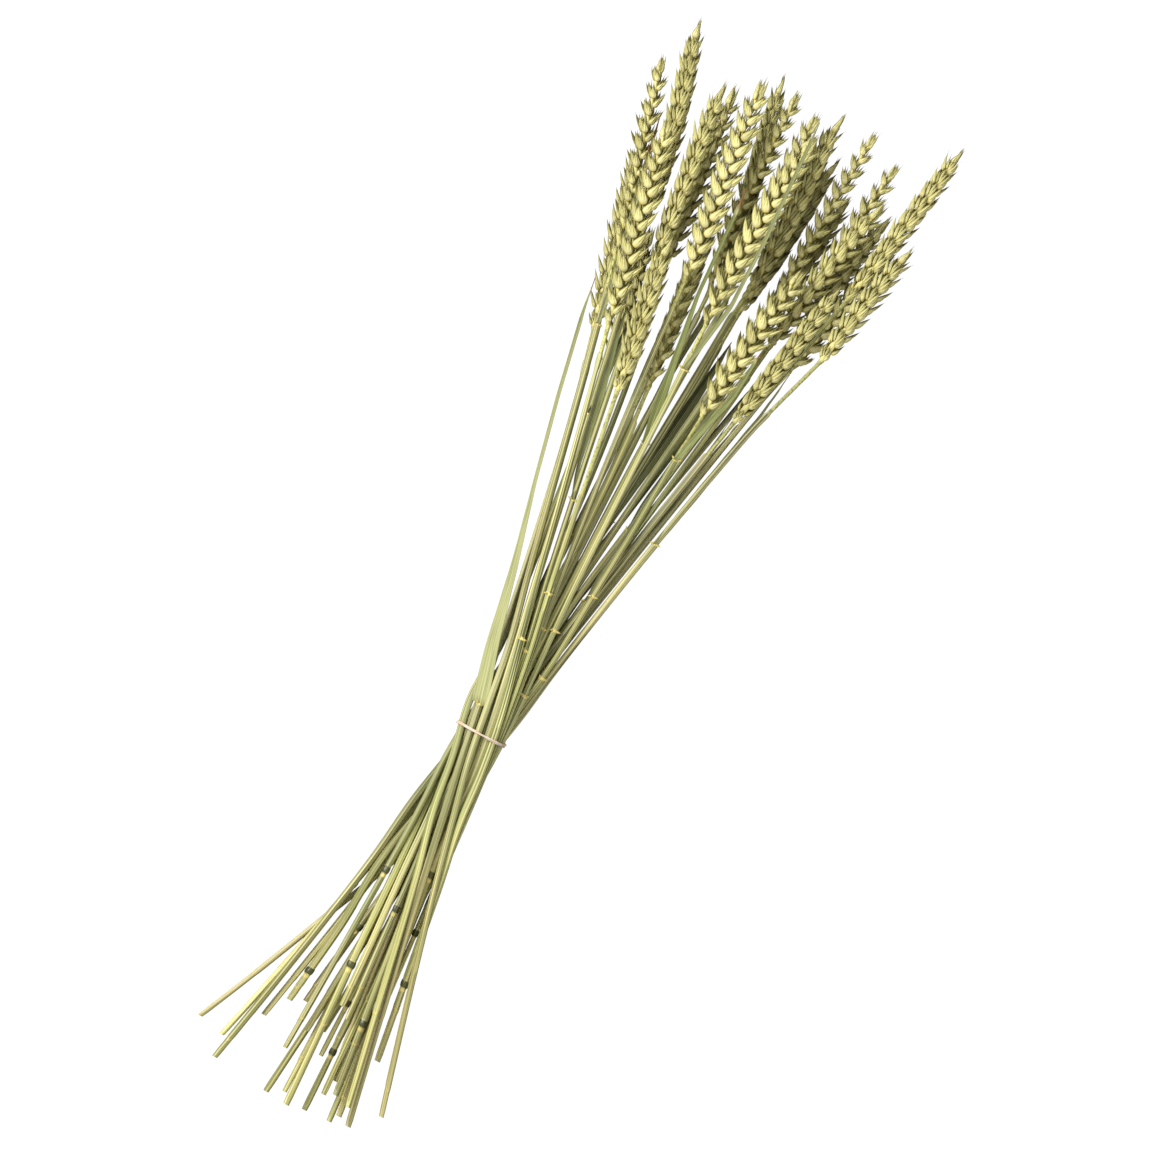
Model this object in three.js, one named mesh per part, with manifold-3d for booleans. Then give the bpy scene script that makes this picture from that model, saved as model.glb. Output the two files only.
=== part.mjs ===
// A bundle of dried wheat, lying on its side, tied once round its waist with a thin elastic. Its stems
// cross at the tie, as in a bunch gathered in the hand: an ear on the left has its cut end on the right.
//
// Millimetres. +X runs along the bundle, from the tie to the ears. +Z is up and +Y is the left side, seen
// with the ears at the top. The origin lies on the flat facet under the tie, on the surface that the
// bundle rests on. Every stalk is two solids, the ear and the stem below it with its leaf, because the
// two have their own colours.
import * as THREE from "three";
import { mergeVertices } from "three/addons/utils/BufferGeometryUtils.js";
import Module from "manifold-3d";

// Driving dimensions
const STEM_RADIUS = 1.9; // a culm in its leaf sheath
const TAIL_RADIUS = 1.75; // the bare culm near its cut end
const SHEATH_FULL = -60; // where along the bundle the lowest sheaths are at their full width
const SHEATH_RUN = 60; // the length over which they swell to it
const SHEATH_MOUTH = 12; // the length over which the last sheath closes on the neck
const NECK_RADIUS = 1.15; // the thin top of the culm, right under the ear
const JOINT_RADIUS = 2.1; // the swollen knot of a culm
const JOINT_LENGTH = 5;
const JOINT_CLEAR = 12; // on either side of a knot, how far its neighbours keep clear of its full radius
const STEM_SIDES = 6;
const LEAST_SPAN = 4; // between two sections of a stem
const EAR_RADIUS = 7.9; // from the ear's axis to the tips of its husks
const SPIKELET_PITCH = 10.8; // between two spikelets of one row
const RACHIS_RADIUS = 3.3; // the ear's core, where its husks start
const HUSK_BELLY = { at: 0.36, radius: 5.9 }; // along the husk's own pitch, and from the ear's axis
const HUSK_SHOULDER = { at: 0.78, radius: 6.6, fan: 2 }; // fan: degrees by which outer husks spread
const HUSK_TIP = { at: 1.2, radius: 7.8, fan: 6, stray: 0.08 };
const HUSK_ARC = 60; // degrees round the ear that one husk takes
const EAR_GIRTH = [[0, 0.72], [0.2, 1], [0.62, 1], [1, 0.6]]; // share of the full radius along the ear
const EAR_FOOT_LENGTH = 2; // from the flat under the ear to its first husk
const EAR_TOP_LENGTH = 9; // the spikelet at the very top
const BLADE_THICKNESS = 0.7;
const BLADE_ROOT_WIDTH = 3;
const BLADE_TIP_WIDTH = 0.9;
const BLADE_STEP = 16; // between two sections of a blade
const BLADE_LEAST_STEP = 6;
const TIE_THICKNESS = 1.3;
const TIE_WIDTH = 1.6;
const TIE_FACETS = 24;
const CLEARANCE = 0.35; // between two neighbours that touch on the real bundle
const TIER_HEIGHT = 13.5; // between two layers of ears
const LOWEST_EAR = 8.6; // height of the axis of the lowest ears
const WAIST_HEIGHT = 10; // the middle of the stems at the tie
const WAIST_HALF_HEIGHT = 7; // the wanted places of the topmost and the lowest stems there, from its middle
const WAIST_TIER_WIDTH = 5; // how much further right a stem passes the tie for each layer that its ear is up
const MIDDLE_TIER = 1.6;
const TOP_TIER = 3;
const TAIL_LOWEST = 3.5;
const TAIL_TIER_HEIGHT = 3.6;
const TAIL_SCATTER_HEIGHT = 13.2; // a cut end lies up to this much higher
const LEAF_CLEAR_HALF_WIDTH = 0.25; // added to half a blade's width for the room that it takes
const LEAF_MOST_REACH = 3.6; // a wider blade lies flat over its neighbours

// Sections along the bundle, where every stem and blade has its corners
const STATIONS = [-228, -180, -130, -85, -48, -18, 14, 48, 90, 135, 180, 225, 265, 305, 345, 385, 406];

// The stalks, from left to right. base and tip are an ear's two ends: distance from the tie and bearing in
// degrees. tier is the layer, from 0 at the bottom. turn is how far the ear is twisted about its own axis:
// at 0 its two rows show side by side, at 90 one row is seen from the front. plump scales its width. neck
// is the length of thin bare culm under the ear.
const STALKS = [
  { base: [226, 10.6], tip: [327, 13.2], tier: 0, turn: 60, plump: 0.95, neck: 10 },
  { base: [268, 12.1], tip: [378, 13.5], tier: 1, turn: 15, plump: 0.8, neck: 10 },
  { base: [231, 11.2], tip: [343, 11.5], tier: 3, turn: 10, plump: 1.0, neck: 8 },
  { base: [296, 10.3], tip: [400, 11.7], tier: 2, turn: 80, plump: 0.98, neck: 10 },
  { base: [206, 9.6], tip: [287, 10.2], tier: 0, turn: 30, plump: 0.9, neck: 12 },
  { base: [272, 9.2], tip: [370, 8.3], tier: 3, turn: 75, plump: 1.0, neck: 22 },
  { base: [199, 7.1], tip: [282, 7.0], tier: 3, turn: 80, plump: 1.04, neck: 50 },
  { base: [269, 5.5], tip: [379, 5.3], tier: 3, turn: 5, plump: 1.05, neck: 10 },
  { base: [270, 3.2], tip: [373, 6.7], tier: 1, turn: 40, plump: 0.9, neck: 10 },
  { base: [211, 2.9], tip: [303, 4.0], tier: 1, turn: 85, plump: 0.95, neck: 12 },
  { base: [208, 1.3], tip: [284, 2.6], tier: 2, turn: 0, plump: 0.72, neck: 12 },
  { base: [281, 1.9], tip: [389, 4.0], tier: 1, turn: 90, plump: 0.95, neck: 10 },
  { base: [273, 1.2], tip: [385, 2.1], tier: 2, turn: 20, plump: 0.8, neck: 10 },
  { base: [289, 0.2], tip: [377, 0.2], tier: 2, turn: 0, plump: 0.95, neck: 12 },
  { base: [252, 0.2], tip: [364, -0.6], tier: 3, turn: -5, plump: 1.05, neck: 10 },
  { base: [283, -2.6], tip: [384, -1.6], tier: 1, turn: 80, plump: 0.98, neck: 10 },
  { base: [269, -4.6], tip: [364, -3.4], tier: 0, turn: 90, plump: 0.95, neck: 14 },
  { base: [280, -4.7], tip: [387, -4.7], tier: 1, turn: 0, plump: 0.78, neck: 14 },
  { base: [265, -6.6], tip: [349, -5.6], tier: 0, turn: 70, plump: 0.95, neck: 14 },
  { base: [281, -7.5], tip: [380, -7.6], tier: 1, turn: 0, plump: 0.78, neck: 14 },
  { base: [209, -7.9], tip: [301, -6.9], tier: 3, turn: 15, plump: 1.0, neck: 10 },
  { base: [261, -8.6], tip: [356, -9.1], tier: 2, turn: 50, plump: 1.0, neck: 12 },
  { base: [216, -9.7], tip: [305, -9.5], tier: 2, turn: 85, plump: 0.95, neck: 14 },
  { base: [276, -9.9], tip: [354, -10.3], tier: 0, turn: 60, plump: 0.95, neck: 14 },
  { base: [256, -11.1], tip: [345, -10.6], tier: 1, turn: 10, plump: 0.9, neck: 30 },
  { base: [306, -11.3], tip: [405, -10.8], tier: 2, turn: 80, plump: 0.96, neck: 14 },
  { base: [269, -11.4], tip: [345, -12.3], tier: 3, turn: 70, plump: 0.95, neck: 30 },
];

// The cut ends, from left to right: x, y and how far the tail curves outwards, where 1 is straight. They
// are dealt to the stalks from right to left, because the stems cross at the tie.
const CUT_ENDS = [
  [-207, 60, 1.6], [-190, 31, 1.2], [-210, 46, 1.4], [-222, 44, 1.4], [-173, 16, 1.1], [-176, 22, 1.1],
  [-226, 11, 1.1], [-186, 8, 1.1], [-199, 13, 1.1], [-221, 2, 1.1], [-226, -2, 1.1], [-165, -4, 1.1],
  [-183, 0, 1.1], [-225, -12, 1.1], [-195, -6, 1.1], [-170, -9, 1.1], [-212, -17, 1.1], [-187, -15, 1.1],
  [-209, -23, 1.1], [-151, -21, 1.1], [-203, -19, 1.1], [-224, -27, 1.1], [-211, -32, 1.1], [-219, -30, 1.1],
  [-183, -34, 1.1], [-208, -50, 1.2], [-221, -37, 1.1],
];

// The culm joints that show: the stalk's number from the left, from 0, and their place along the bundle
const CULM_JOINTS = [
  [2, -139], [3, -80], [7, -112], [8, -168], [11, -105], [12, -163], [13, -190], [16, -143], [18, -89],
  [21, -157], [22, -124], [24, -105],
];

// The leaf blades: the stalk that each grows from, then its route as points x, y, z, from the collar to
// the tip, its greatest width, where along it that lies, how soon it narrows past there (over 1 is soon),
// and its turn about its own line in degrees at the collar and at the tip.
const LEAVES = [
  { stalk: 0, route: [[14, 12, 24], [48, 5, 37], [90, 26, 36], [135, 44, 34], [180, 55, 34], [225, 68, 33],
      [246, 75, 32]],
    width: 9.6, widest: 0.05, taper: 2.8, turn: [-25, 25] },
  { stalk: 5, route: [[135, 21, 34], [180, 34, 40], [240, 55, 44]],
    width: 6.5, widest: 0.4, taper: 0.65, turn: [-15, -40] },
  { stalk: 21, route: [[90, -14, 24], [135, -19, 32], [200, -26, 34]],
    width: 4.5, widest: 0.4, taper: 0.65, turn: [0, 30] },
  { stalk: 25, route: [[48, -16, 16], [90, -22, 20], [133, -26, 24], [215, -44, 26]],
    width: 6.5, widest: 0.5, taper: 0.65, turn: [0, 80] },
  { stalk: 14, route: [[225, -2, 50], [265, -5, 58], [314, -6, 62], [375, -1, 62]],
    width: 2.6, widest: 0.2, taper: 1.4, turn: [15, 25] },
  { stalk: 13, route: [[180, -4, 40], [226, -1, 50], [261, 7, 58], [293, 13, 62], [326, 19, 62]],
    width: 5.8, widest: 0.15, taper: 2, turn: [10, 25] },
  { stalk: 1, route: [[225, 48, 22], [279, 61, 30], [313, 72, 34], [341, 79, 34]],
    width: 2.8, widest: 0.4, taper: 0.65, turn: [0, 60] },
  { stalk: 3, route: [[180, 34, 26], [216, 41, 24], [266, 39, 26], [285, 37, 26]],
    width: 4.5, widest: 0.5, taper: 0.65, turn: [10, 70] },
  { stalk: 16, route: [[135, -9, 14], [169, -11, 14], [215, -17, 16], [251, -22, 18]],
    width: 6.5, widest: 0.6, taper: 0.65, turn: [0, 35] },
  { stalk: 19, route: [[135, -18, 16], [189, -25, 18], [245, -33, 20]],
    width: 5.5, widest: 0.6, taper: 0.65, turn: [0, 30] },
  { stalk: 26, route: [[135, -31, 24], [182, -45, 28], [250, -60, 30]],
    width: 4.5, widest: 0.4, taper: 0.65, turn: [20, 70] },
  { stalk: 20, route: [[180, -25, 44], [211, -32, 52], [252, -38, 60]],
    width: 3.4, widest: 0.4, taper: 0.65, turn: [0, 30] },
];

// Settling of the strands
const FLOOR_CLEARANCE = 0.2;
const TIE_FLOOR_REACH = 60; // how far from the tie its thickness still lifts the stems
const SETTLE_ROUNDS = 1400;
const SETTLE_FREE_ROUNDS = 250; // the last rounds only push apart
const PULL = 0.05;
const WAIST_PULL = 0.3; // at the two stations beside the tie
const WAIST_REACH = 20;
const WAIST_SHUFFLE = 2.6; // how many places a stem may stray from its order at the tie
const SLACK_LEFT = 0.12; // how much of the pull lasts until the free rounds
const STIFFNESS = 0.3;
const SAMPLES_PER_SPAN = 4;
const PUSH = 1.3;
const ENDS_ROOM = 5; // kept free beyond a strand's two ends
const EAR_ROOM = 1.04; // times the ear's radius, for its slant across the bundle

// Seeded draws, so that no two ears are quite alike
const SEED = 20;
const HUSK_SCATTER = 0.07;
const TAIL_SEED = 7;

const COLOURS = {
  ear: { color: 0xc9c389, roughness: 0.75 },
  stem: { color: 0xabac76, roughness: 0.7 },
  tie: { color: 0xdfc4a2, roughness: 0.6 },
};

const wasm = await Module();
wasm.setup();

// A repeatable run of numbers from 0 to 1.
function draws(seed) {
  let state = seed * 7919 + 13;
  return () => {
    state = (state * 16807) % 2147483647;
    return state / 2147483647;
  };
}

const lerp = (a, b, t) => a + (b - a) * t;
const radians = (degrees) => (degrees * Math.PI) / 180;
const polar = ([distance, bearing]) => [
  distance * Math.cos(radians(bearing)),
  distance * Math.sin(radians(bearing)),
];

// The value at x of a line through points [x, value], held level past its ends.
function along(points, x, item = 1) {
  if (x <= points[0][0]) return points[0][item];
  for (let k = 1; k < points.length; k++) {
    if (x <= points[k][0]) {
      const t = (x - points[k - 1][0]) / (points[k][0] - points[k - 1][0]);
      return lerp(points[k - 1][item], points[k][item], t);
    }
  }
  return points[points.length - 1][item];
}

// The wanted line of every stalk: from its cut end through its place at the tie to the base and the tip of
// its ear.
function stalkPlans() {
  const draw = draws(TAIL_SEED);
  return STALKS.map((stalk, i) => {
    const [baseX, baseY] = polar(stalk.base);
    const [tipX, tipY] = polar(stalk.tip);
    const [cutX, cutY, curl] = CUT_ENDS[STALKS.length - 1 - i];
    const rank = (i + WAIST_SHUFFLE * (2 * draw() - 1)) / (STALKS.length - 1);
    const waistY = (MIDDLE_TIER - stalk.tier) * WAIST_TIER_WIDTH;
    const waistZ = WAIST_HEIGHT + lerp(WAIST_HALF_HEIGHT, -WAIST_HALF_HEIGHT, rank);
    const earZ = LOWEST_EAR + stalk.tier * TIER_HEIGHT;
    const cutZ = TAIL_LOWEST + TAIL_TIER_HEIGHT * (TOP_TIER - stalk.tier) + TAIL_SCATTER_HEIGHT * draw();
    const wanted = STATIONS.map((x) => {
      if (x < 0) {
        const t = x / cutX;
        return [lerp(waistY, cutY, Math.pow(t, curl)), lerp(waistZ, cutZ, t)];
      }
      if (x < baseX) return [lerp(waistY, baseY, x / baseX), lerp(waistZ, earZ, x / baseX)];
      const t = (x - baseX) / (tipX - baseX);
      return [lerp(baseY, tipY, t), earZ];
    });
    return { ...stalk, index: i, baseX, tipX, cutX, wanted };
  });
}

// The wanted line of every blade, level with its stalk up to the collar.
function leafPlans(stalks) {
  return LEAVES.map((leaf) => {
    const parent = stalks[leaf.stalk];
    const collarX = leaf.route[0][0];
    const tipX = leaf.route[leaf.route.length - 1][0];
    const wanted = STATIONS.map((x, k) =>
      x <= collarX ? parent.wanted[k] : [along(leaf.route, x, 1), along(leaf.route, x, 2)],
    );
    return { ...leaf, collarX, tipX, wanted };
  });
}

// A blade's width at x: it swells from the collar to its widest place and narrows to a point.
function bladeWidth(leaf, x) {
  const t = (x - leaf.collarX) / (leaf.tipX - leaf.collarX);
  const root = Math.min(leaf.width, BLADE_ROOT_WIDTH);
  if (t < leaf.widest) return lerp(root, leaf.width, Math.sin(((t / leaf.widest) * Math.PI) / 2));
  const left = Math.max(0, 1 - t) / (1 - leaf.widest);
  return lerp(BLADE_TIP_WIDTH, leaf.width, Math.pow(left, leaf.taper));
}

// How far a stalk reaches from its line at x, or nothing past its ends.
function stalkReach(stalk, x) {
  if (x < stalk.cutX - ENDS_ROOM || x > stalk.tipX + ENDS_ROOM) return 0;
  if (x >= stalk.baseX - EAR_FOOT_LENGTH) return EAR_RADIUS * stalk.plump * EAR_ROOM;
  const knots = CULM_JOINTS.filter(([number]) => number === stalk.index);
  return knots.some(([, at]) => Math.abs(x - at) < JOINT_CLEAR) ? JOINT_RADIUS : stemRadius(stalk, x);
}

function leafReach(leaf, x) {
  if (x <= leaf.collarX || x > leaf.tipX + ENDS_ROOM) return 0;
  return Math.min(bladeWidth(leaf, x) / 2 + LEAF_CLEAR_HALF_WIDTH, LEAF_MOST_REACH);
}

// A stem's radius at x: the bare culm, the sheath round it from the waist up, and the thin neck under the
// ear.
function stemRadius(stalk, x) {
  const neckStart = stalk.baseX - stalk.neck;
  const shape = [
    [SHEATH_FULL - SHEATH_RUN, TAIL_RADIUS],
    [SHEATH_FULL, STEM_RADIUS],
    [neckStart - SHEATH_MOUTH, STEM_RADIUS],
    [neckStart, NECK_RADIUS],
  ];
  return along(shape, x);
}

// Lets the strands find room beside one another. Each strand is a line of places (y, z) at the stations.
// In every round it is pulled towards its wanted line and straightened, and any two that come closer than
// their reaches allow are pushed apart by half of what is missing each, averaged over all the pushes that
// a place gets. Nothing sinks below the surface, and at the tie nothing sinks below the tie's own
// thickness.
function settle(stalks, leaves) {
  const strands = [...stalks, ...leaves];
  const count = strands.length;
  const place = strands.map((s) => s.wanted.map(([y, z]) => [y, z]));
  const samples = [];
  for (let k = 0; k + 1 < STATIONS.length; k++) {
    for (let q = 0; q < SAMPLES_PER_SPAN; q++) {
      const t = q / SAMPLES_PER_SPAN;
      const x = lerp(STATIONS[k], STATIONS[k + 1], t);
      const reach = strands.map((s) => (s.route ? leafReach(s, x) : stalkReach(s, x)));
      const floor = Math.abs(x) < TIE_FLOOR_REACH ? TIE_THICKNESS + CLEARANCE : FLOOR_CLEARANCE;
      samples.push({ k, t, x, reach, floor });
    }
  }
  const free = (i, j, x) => {
    const leaf = strands[j];
    return leaf.route && leaf.stalk === i && x < stalks[i].baseX - 3 * EAR_FOOT_LENGTH;
  };
  for (const s of samples) {
    s.pairs = [];
    for (let i = 0; i < count; i++)
      for (let j = i + 1; j < count; j++)
        if (s.reach[i] > 0 && s.reach[j] > 0 && !free(i, j, s.x))
          s.pairs.push([i, j, s.reach[i] + s.reach[j] + CLEARANCE]);
  }
  for (let round = 0; round < SETTLE_ROUNDS; round++) {
    const tied = SETTLE_ROUNDS - SETTLE_FREE_ROUNDS;
    const left = round < tied ? lerp(1, SLACK_LEFT, round / tied) : 0;
    const before = place.map((line) => line.map((p) => [...p]));
    place.forEach((line, i) =>
      line.forEach((p, k) => {
        for (const c of [0, 1]) {
          const pull = Math.abs(STATIONS[k]) < WAIST_REACH ? WAIST_PULL : PULL;
          p[c] += pull * left * (strands[i].wanted[k][c] - p[c]);
          if (k === 0 || k + 1 === line.length) continue;
          const t = (STATIONS[k] - STATIONS[k - 1]) / (STATIONS[k + 1] - STATIONS[k - 1]);
          p[c] += STIFFNESS * left * (lerp(before[i][k - 1][c], before[i][k + 1][c], t) - before[i][k][c]);
        }
      }),
    );
    const push = place.map((line) => line.map(() => [0, 0, 0]));
    const shove = (i, s, dy, dz) => {
      const a = 1 - s.t;
      const b = s.t;
      const whole = a * a + b * b;
      for (const [k, share] of [[s.k, a], [s.k + 1, b]]) {
        if (share === 0) continue;
        push[i][k][0] += (dy * share) / whole;
        push[i][k][1] += (dz * share) / whole;
        push[i][k][2] += share;
      }
    };
    for (const s of samples) {
      const y = place.map((line) => lerp(line[s.k][0], line[s.k + 1][0], s.t));
      const z = place.map((line) => lerp(line[s.k][1], line[s.k + 1][1], s.t));
      for (const [i, j, need] of s.pairs) {
        const dy = y[j] - y[i];
        const dz = z[j] - z[i];
        const far = Math.sqrt(dy * dy + dz * dz) + 1e-6;
        if (far >= need) continue;
        const half = (need - far) / 2 / far;
        shove(i, s, -dy * half, -dz * half);
        shove(j, s, dy * half, dz * half);
      }
      for (let i = 0; i < count; i++) {
        const low = s.floor + s.reach[i] - z[i];
        if (s.reach[i] > 0 && low > 0) shove(i, s, 0, low);
      }
    }
    place.forEach((line, i) =>
      line.forEach((p, k) => {
        const [dy, dz, n] = push[i][k];
        if (n > 0) {
          p[0] += (PUSH * dy) / Math.max(n, 1);
          p[1] += (PUSH * dz) / Math.max(n, 1);
        }
      }),
    );
    leaves.forEach((leaf, n) =>
      STATIONS.forEach((x, k) => {
        if (x <= leaf.collarX) place[stalks.length + n][k] = [...place[leaf.stalk][k]];
      }),
    );
  }
  return place;
}

// The point of a settled strand at x.
function pointAt(line, x) {
  const y = along(STATIONS.map((at, k) => [at, line[k][0]]), x);
  const z = along(STATIONS.map((at, k) => [at, line[k][1]]), x);
  return new THREE.Vector3(x, y, z);
}

// A closed geometry from corner points and triangles of their numbers.
function closedGeometry(points, triangles) {
  const geometry = new THREE.BufferGeometry();
  const flat = points.flatMap((p) => [p.x, p.y, p.z]);
  geometry.setAttribute("position", new THREE.Float32BufferAttribute(flat, 3));
  geometry.setIndex(triangles.flat());
  return geometry;
}

// A loft through rings of equally many points, wound so that its faces look out, with both ends closed.
function loft(rings) {
  const sides = rings[0].length;
  const points = rings.flat();
  const triangles = [];
  for (let r = 0; r + 1 < rings.length; r++)
    for (let s = 0; s < sides; s++) {
      const a = r * sides + s;
      const b = r * sides + ((s + 1) % sides);
      triangles.push([a, b, b + sides], [a, b + sides, a + sides]);
    }
  const last = (rings.length - 1) * sides;
  for (let s = 1; s + 1 < sides; s++) triangles.push([0, s + 1, s], [last, last + s, last + s + 1]);
  return closedGeometry(points, triangles);
}

// A stem: six-sided rings across the bundle's length, at the stations and at its own joints and neck.
function stemGeometry(stalk, line) {
  const topX = stalk.baseX - CLEARANCE;
  const places = STATIONS.filter((x) => x > stalk.cutX + LEAST_SPAN && x < topX - LEAST_SPAN);
  places.push(stalk.cutX, topX, stalk.baseX - stalk.neck);
  const knots = CULM_JOINTS.filter(([number]) => number === stalk.index);
  for (const [, x] of knots) places.push(x - JOINT_LENGTH / 2, x, x + JOINT_LENGTH / 2);
  places.sort((a, b) => a - b);
  const rings = places.map((x) => {
    const centre = pointAt(line, x);
    const radius = knots.some(([, at]) => at === x) ? JOINT_RADIUS : stemRadius(stalk, x);
    return Array.from({ length: STEM_SIDES }, (_, s) => {
      const angle = (s / STEM_SIDES) * 2 * Math.PI;
      return new THREE.Vector3(x, centre.y + radius * Math.cos(angle), centre.z + radius * Math.sin(angle));
    });
  });
  return loft(rings);
}

// A blade: a flat strip that turns about its own line, with its root sunk in the stem at the collar.
function bladeGeometry(leaf, line) {
  const steps = Math.round((leaf.tipX - leaf.collarX) / BLADE_STEP);
  const places = STATIONS.filter((x) => x > leaf.collarX && x < leaf.tipX);
  for (let n = 0; n <= steps; n++) {
    const x = lerp(leaf.collarX, leaf.tipX, n / steps);
    if (places.every((at) => Math.abs(at - x) > BLADE_LEAST_STEP)) places.push(x);
  }
  places.sort((a, b) => a - b);
  const rings = places.map((x) => {
    const centre = pointAt(line, x);
    const t = (x - leaf.collarX) / (leaf.tipX - leaf.collarX);
    const angle = radians(lerp(leaf.turn[0], leaf.turn[1], t));
    const half = bladeWidth(leaf, x) / 2;
    const thick = BLADE_THICKNESS / 2;
    const across = [Math.cos(angle), Math.sin(angle)];
    const corner = (u, v) => {
      const y = centre.y + u * across[0] - v * across[1];
      return new THREE.Vector3(x, y, centre.z + u * across[1] + v * across[0]);
    };
    return [corner(half, -thick), corner(half, thick), corner(-half, thick), corner(-half, -thick)];
  });
  return loft(rings);
}

// One solid from several closed geometries that run into one another.
function joined(geometries) {
  const solids = geometries.map((geometry) => {
    const merged = mergeVertices(geometry, 1e-4);
    return new wasm.Manifold(
      new wasm.Mesh({
        numProp: 3,
        vertProperties: merged.getAttribute("position").array,
        triVerts: new Uint32Array(merged.index.array),
      }),
    );
  });
  const mesh = solids.reduce((whole, solid) => whole.add(solid)).getMesh();
  const geometry = new THREE.BufferGeometry();
  geometry.setAttribute("position", new THREE.BufferAttribute(new Float32Array(mesh.vertProperties), 3));
  geometry.setIndex(new THREE.BufferAttribute(new Uint32Array(mesh.triVerts), 1));
  return geometry;
}

// An ear: two rows of spikelets on opposite sides of its core, half a pitch apart. Each spikelet is three
// husks side by side, each raised from its own patch of the core as a keeled scale whose tip stands out
// over the next one.
function earGeometry(stalk, line) {
  const draw = draws(SEED + stalk.index);
  const start = pointAt(line, stalk.baseX);
  const end = pointAt(line, stalk.tipX);
  const length = end.distanceTo(start);
  const axis = end.clone().sub(start).normalize();
  const turn = radians(stalk.turn);
  const side = new THREE.Vector3(0, Math.cos(turn), Math.sin(turn));
  const rowWay = side.sub(axis.clone().multiplyScalar(side.dot(axis))).normalize();
  const crossWay = new THREE.Vector3().crossVectors(axis, rowWay);
  const husked = length - EAR_TOP_LENGTH - EAR_FOOT_LENGTH;
  const rows = Math.round(husked / SPIKELET_PITCH - 0.5);
  const pitch = husked / (rows + 0.5);
  const girth = (d) => stalk.plump * along(EAR_GIRTH, d / length);
  const points = [];
  const triangles = [];
  const put = (d, angle, radius) => {
    const out = rowWay
      .clone()
      .multiplyScalar(Math.cos(radians(angle)))
      .addScaledVector(crossWay, Math.sin(radians(angle)));
    const centre = pointAt(line, lerp(stalk.baseX, stalk.tipX, Math.min(1, d / length)));
    points.push(centre.addScaledVector(out, radius));
    return points.length - 1;
  };
  const core = new Map();
  const corner = (half, angle) => {
    const key = half + ":" + ((angle + 360) % 360);
    const d = EAR_FOOT_LENGTH + (half / 2) * pitch;
    if (!core.has(key)) core.set(key, put(d, angle, RACHIS_RADIUS * girth(d)));
    return core.get(key);
  };
  const husk = (half, facing, offset) => {
    const low = EAR_FOOT_LENGTH + (half / 2) * pitch;
    const size = girth(low + pitch / 2) * (1 + HUSK_SCATTER * (2 * draw() - 1));
    const middle = facing + offset * HUSK_ARC;
    const [from, to] = [middle - HUSK_ARC / 2, middle + HUSK_ARC / 2];
    const belly = put(low + HUSK_BELLY.at * pitch, middle, HUSK_BELLY.radius * size);
    const shoulderAngle = middle + offset * HUSK_SHOULDER.fan;
    const shoulder = put(low + HUSK_SHOULDER.at * pitch, shoulderAngle, HUSK_SHOULDER.radius * size);
    const tipReach = Math.min(HUSK_TIP.radius * size, EAR_RADIUS * stalk.plump);
    const tipAt = HUSK_TIP.at + HUSK_TIP.stray * draw();
    const tip = put(low + tipAt * pitch, middle + offset * HUSK_TIP.fan, tipReach);
    const rim = [corner(half, from)];
    rim.push(corner(half, to));
    if (offset > 0) rim.push(corner(half + 1, to));
    const topTo = rim.push(corner(half + 2, to)) - 1;
    const topFrom = rim.push(corner(half + 2, from)) - 1;
    if (offset < 0) rim.push(corner(half + 1, from));
    triangles.push([rim[0], belly, rim[1]].reverse());
    const right = rim.slice(1, topTo + 1);
    const left = [...rim.slice(topFrom), rim[0]];
    if (right.length === 3) {
      triangles.push([right[0], right[1], belly], [right[1], shoulder, belly]);
      triangles.push([right[1], right[2], shoulder]);
    } else {
      triangles.push([right[0], shoulder, belly], [right[0], right[1], shoulder]);
    }
    if (left.length === 3) {
      triangles.push([left[2], belly, left[1]], [left[1], belly, shoulder], [left[1], shoulder, left[0]]);
    } else {
      triangles.push([left[1], belly, shoulder], [left[1], shoulder, left[0]]);
    }
    triangles.push([rim[topTo], tip, shoulder], [rim[topFrom], shoulder, tip]);
    triangles.push([rim[topFrom], tip, rim[topTo]]);
  };
  for (let row = 0; row < rows; row++)
    for (const [facing, shift] of [[0, 0], [180, 1]])
      for (const offset of [-1, 0, 1]) husk(2 * row + shift, facing, offset);
  // The base closes on a small flat that faces the culm, and the top on one last pointed husk.
  const foot = [-90, -30, 30, 90, 150, 210].map((angle) => {
    const index = put(0, angle, NECK_RADIUS);
    points[index].x = stalk.baseX;
    return index;
  });
  const low = corner;
  triangles.push(
    [foot[0], foot[1], low(0, -30)], [foot[0], low(0, -30), low(0, -90)],
    [foot[1], foot[2], low(0, 30)], [foot[1], low(0, 30), low(0, -30)],
    [foot[2], foot[3], low(0, 90)], [foot[2], low(0, 90), low(0, 30)],
    [foot[3], foot[4], low(0, 90)], [low(0, 90), foot[4], low(1, 150)], [low(0, 90), low(1, 150), low(1, 90)],
    [foot[4], foot[5], low(1, 210)], [foot[4], low(1, 210), low(1, 150)],
    [foot[5], foot[0], low(0, -90)], [foot[5], low(0, -90), low(1, 210)],
    [low(1, 210), low(0, -90), low(1, -90)],
    [foot[0], foot[2], foot[1]], [foot[0], foot[3], foot[2]],
    [foot[0], foot[4], foot[3]], [foot[0], foot[5], foot[4]],
  );
  const top = 2 * rows;
  const apex = put(length, 0, 0);
  const crown = [
    low(top, -90), low(top, -30), low(top, 30), low(top, 90),
    low(top + 1, 90), low(top + 1, 150), low(top + 1, 210), low(top + 1, -90),
  ];
  crown.forEach((index, n) => triangles.push([index, crown[(n + 1) % crown.length], apex]));
  return closedGeometry(points, triangles);
}

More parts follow.
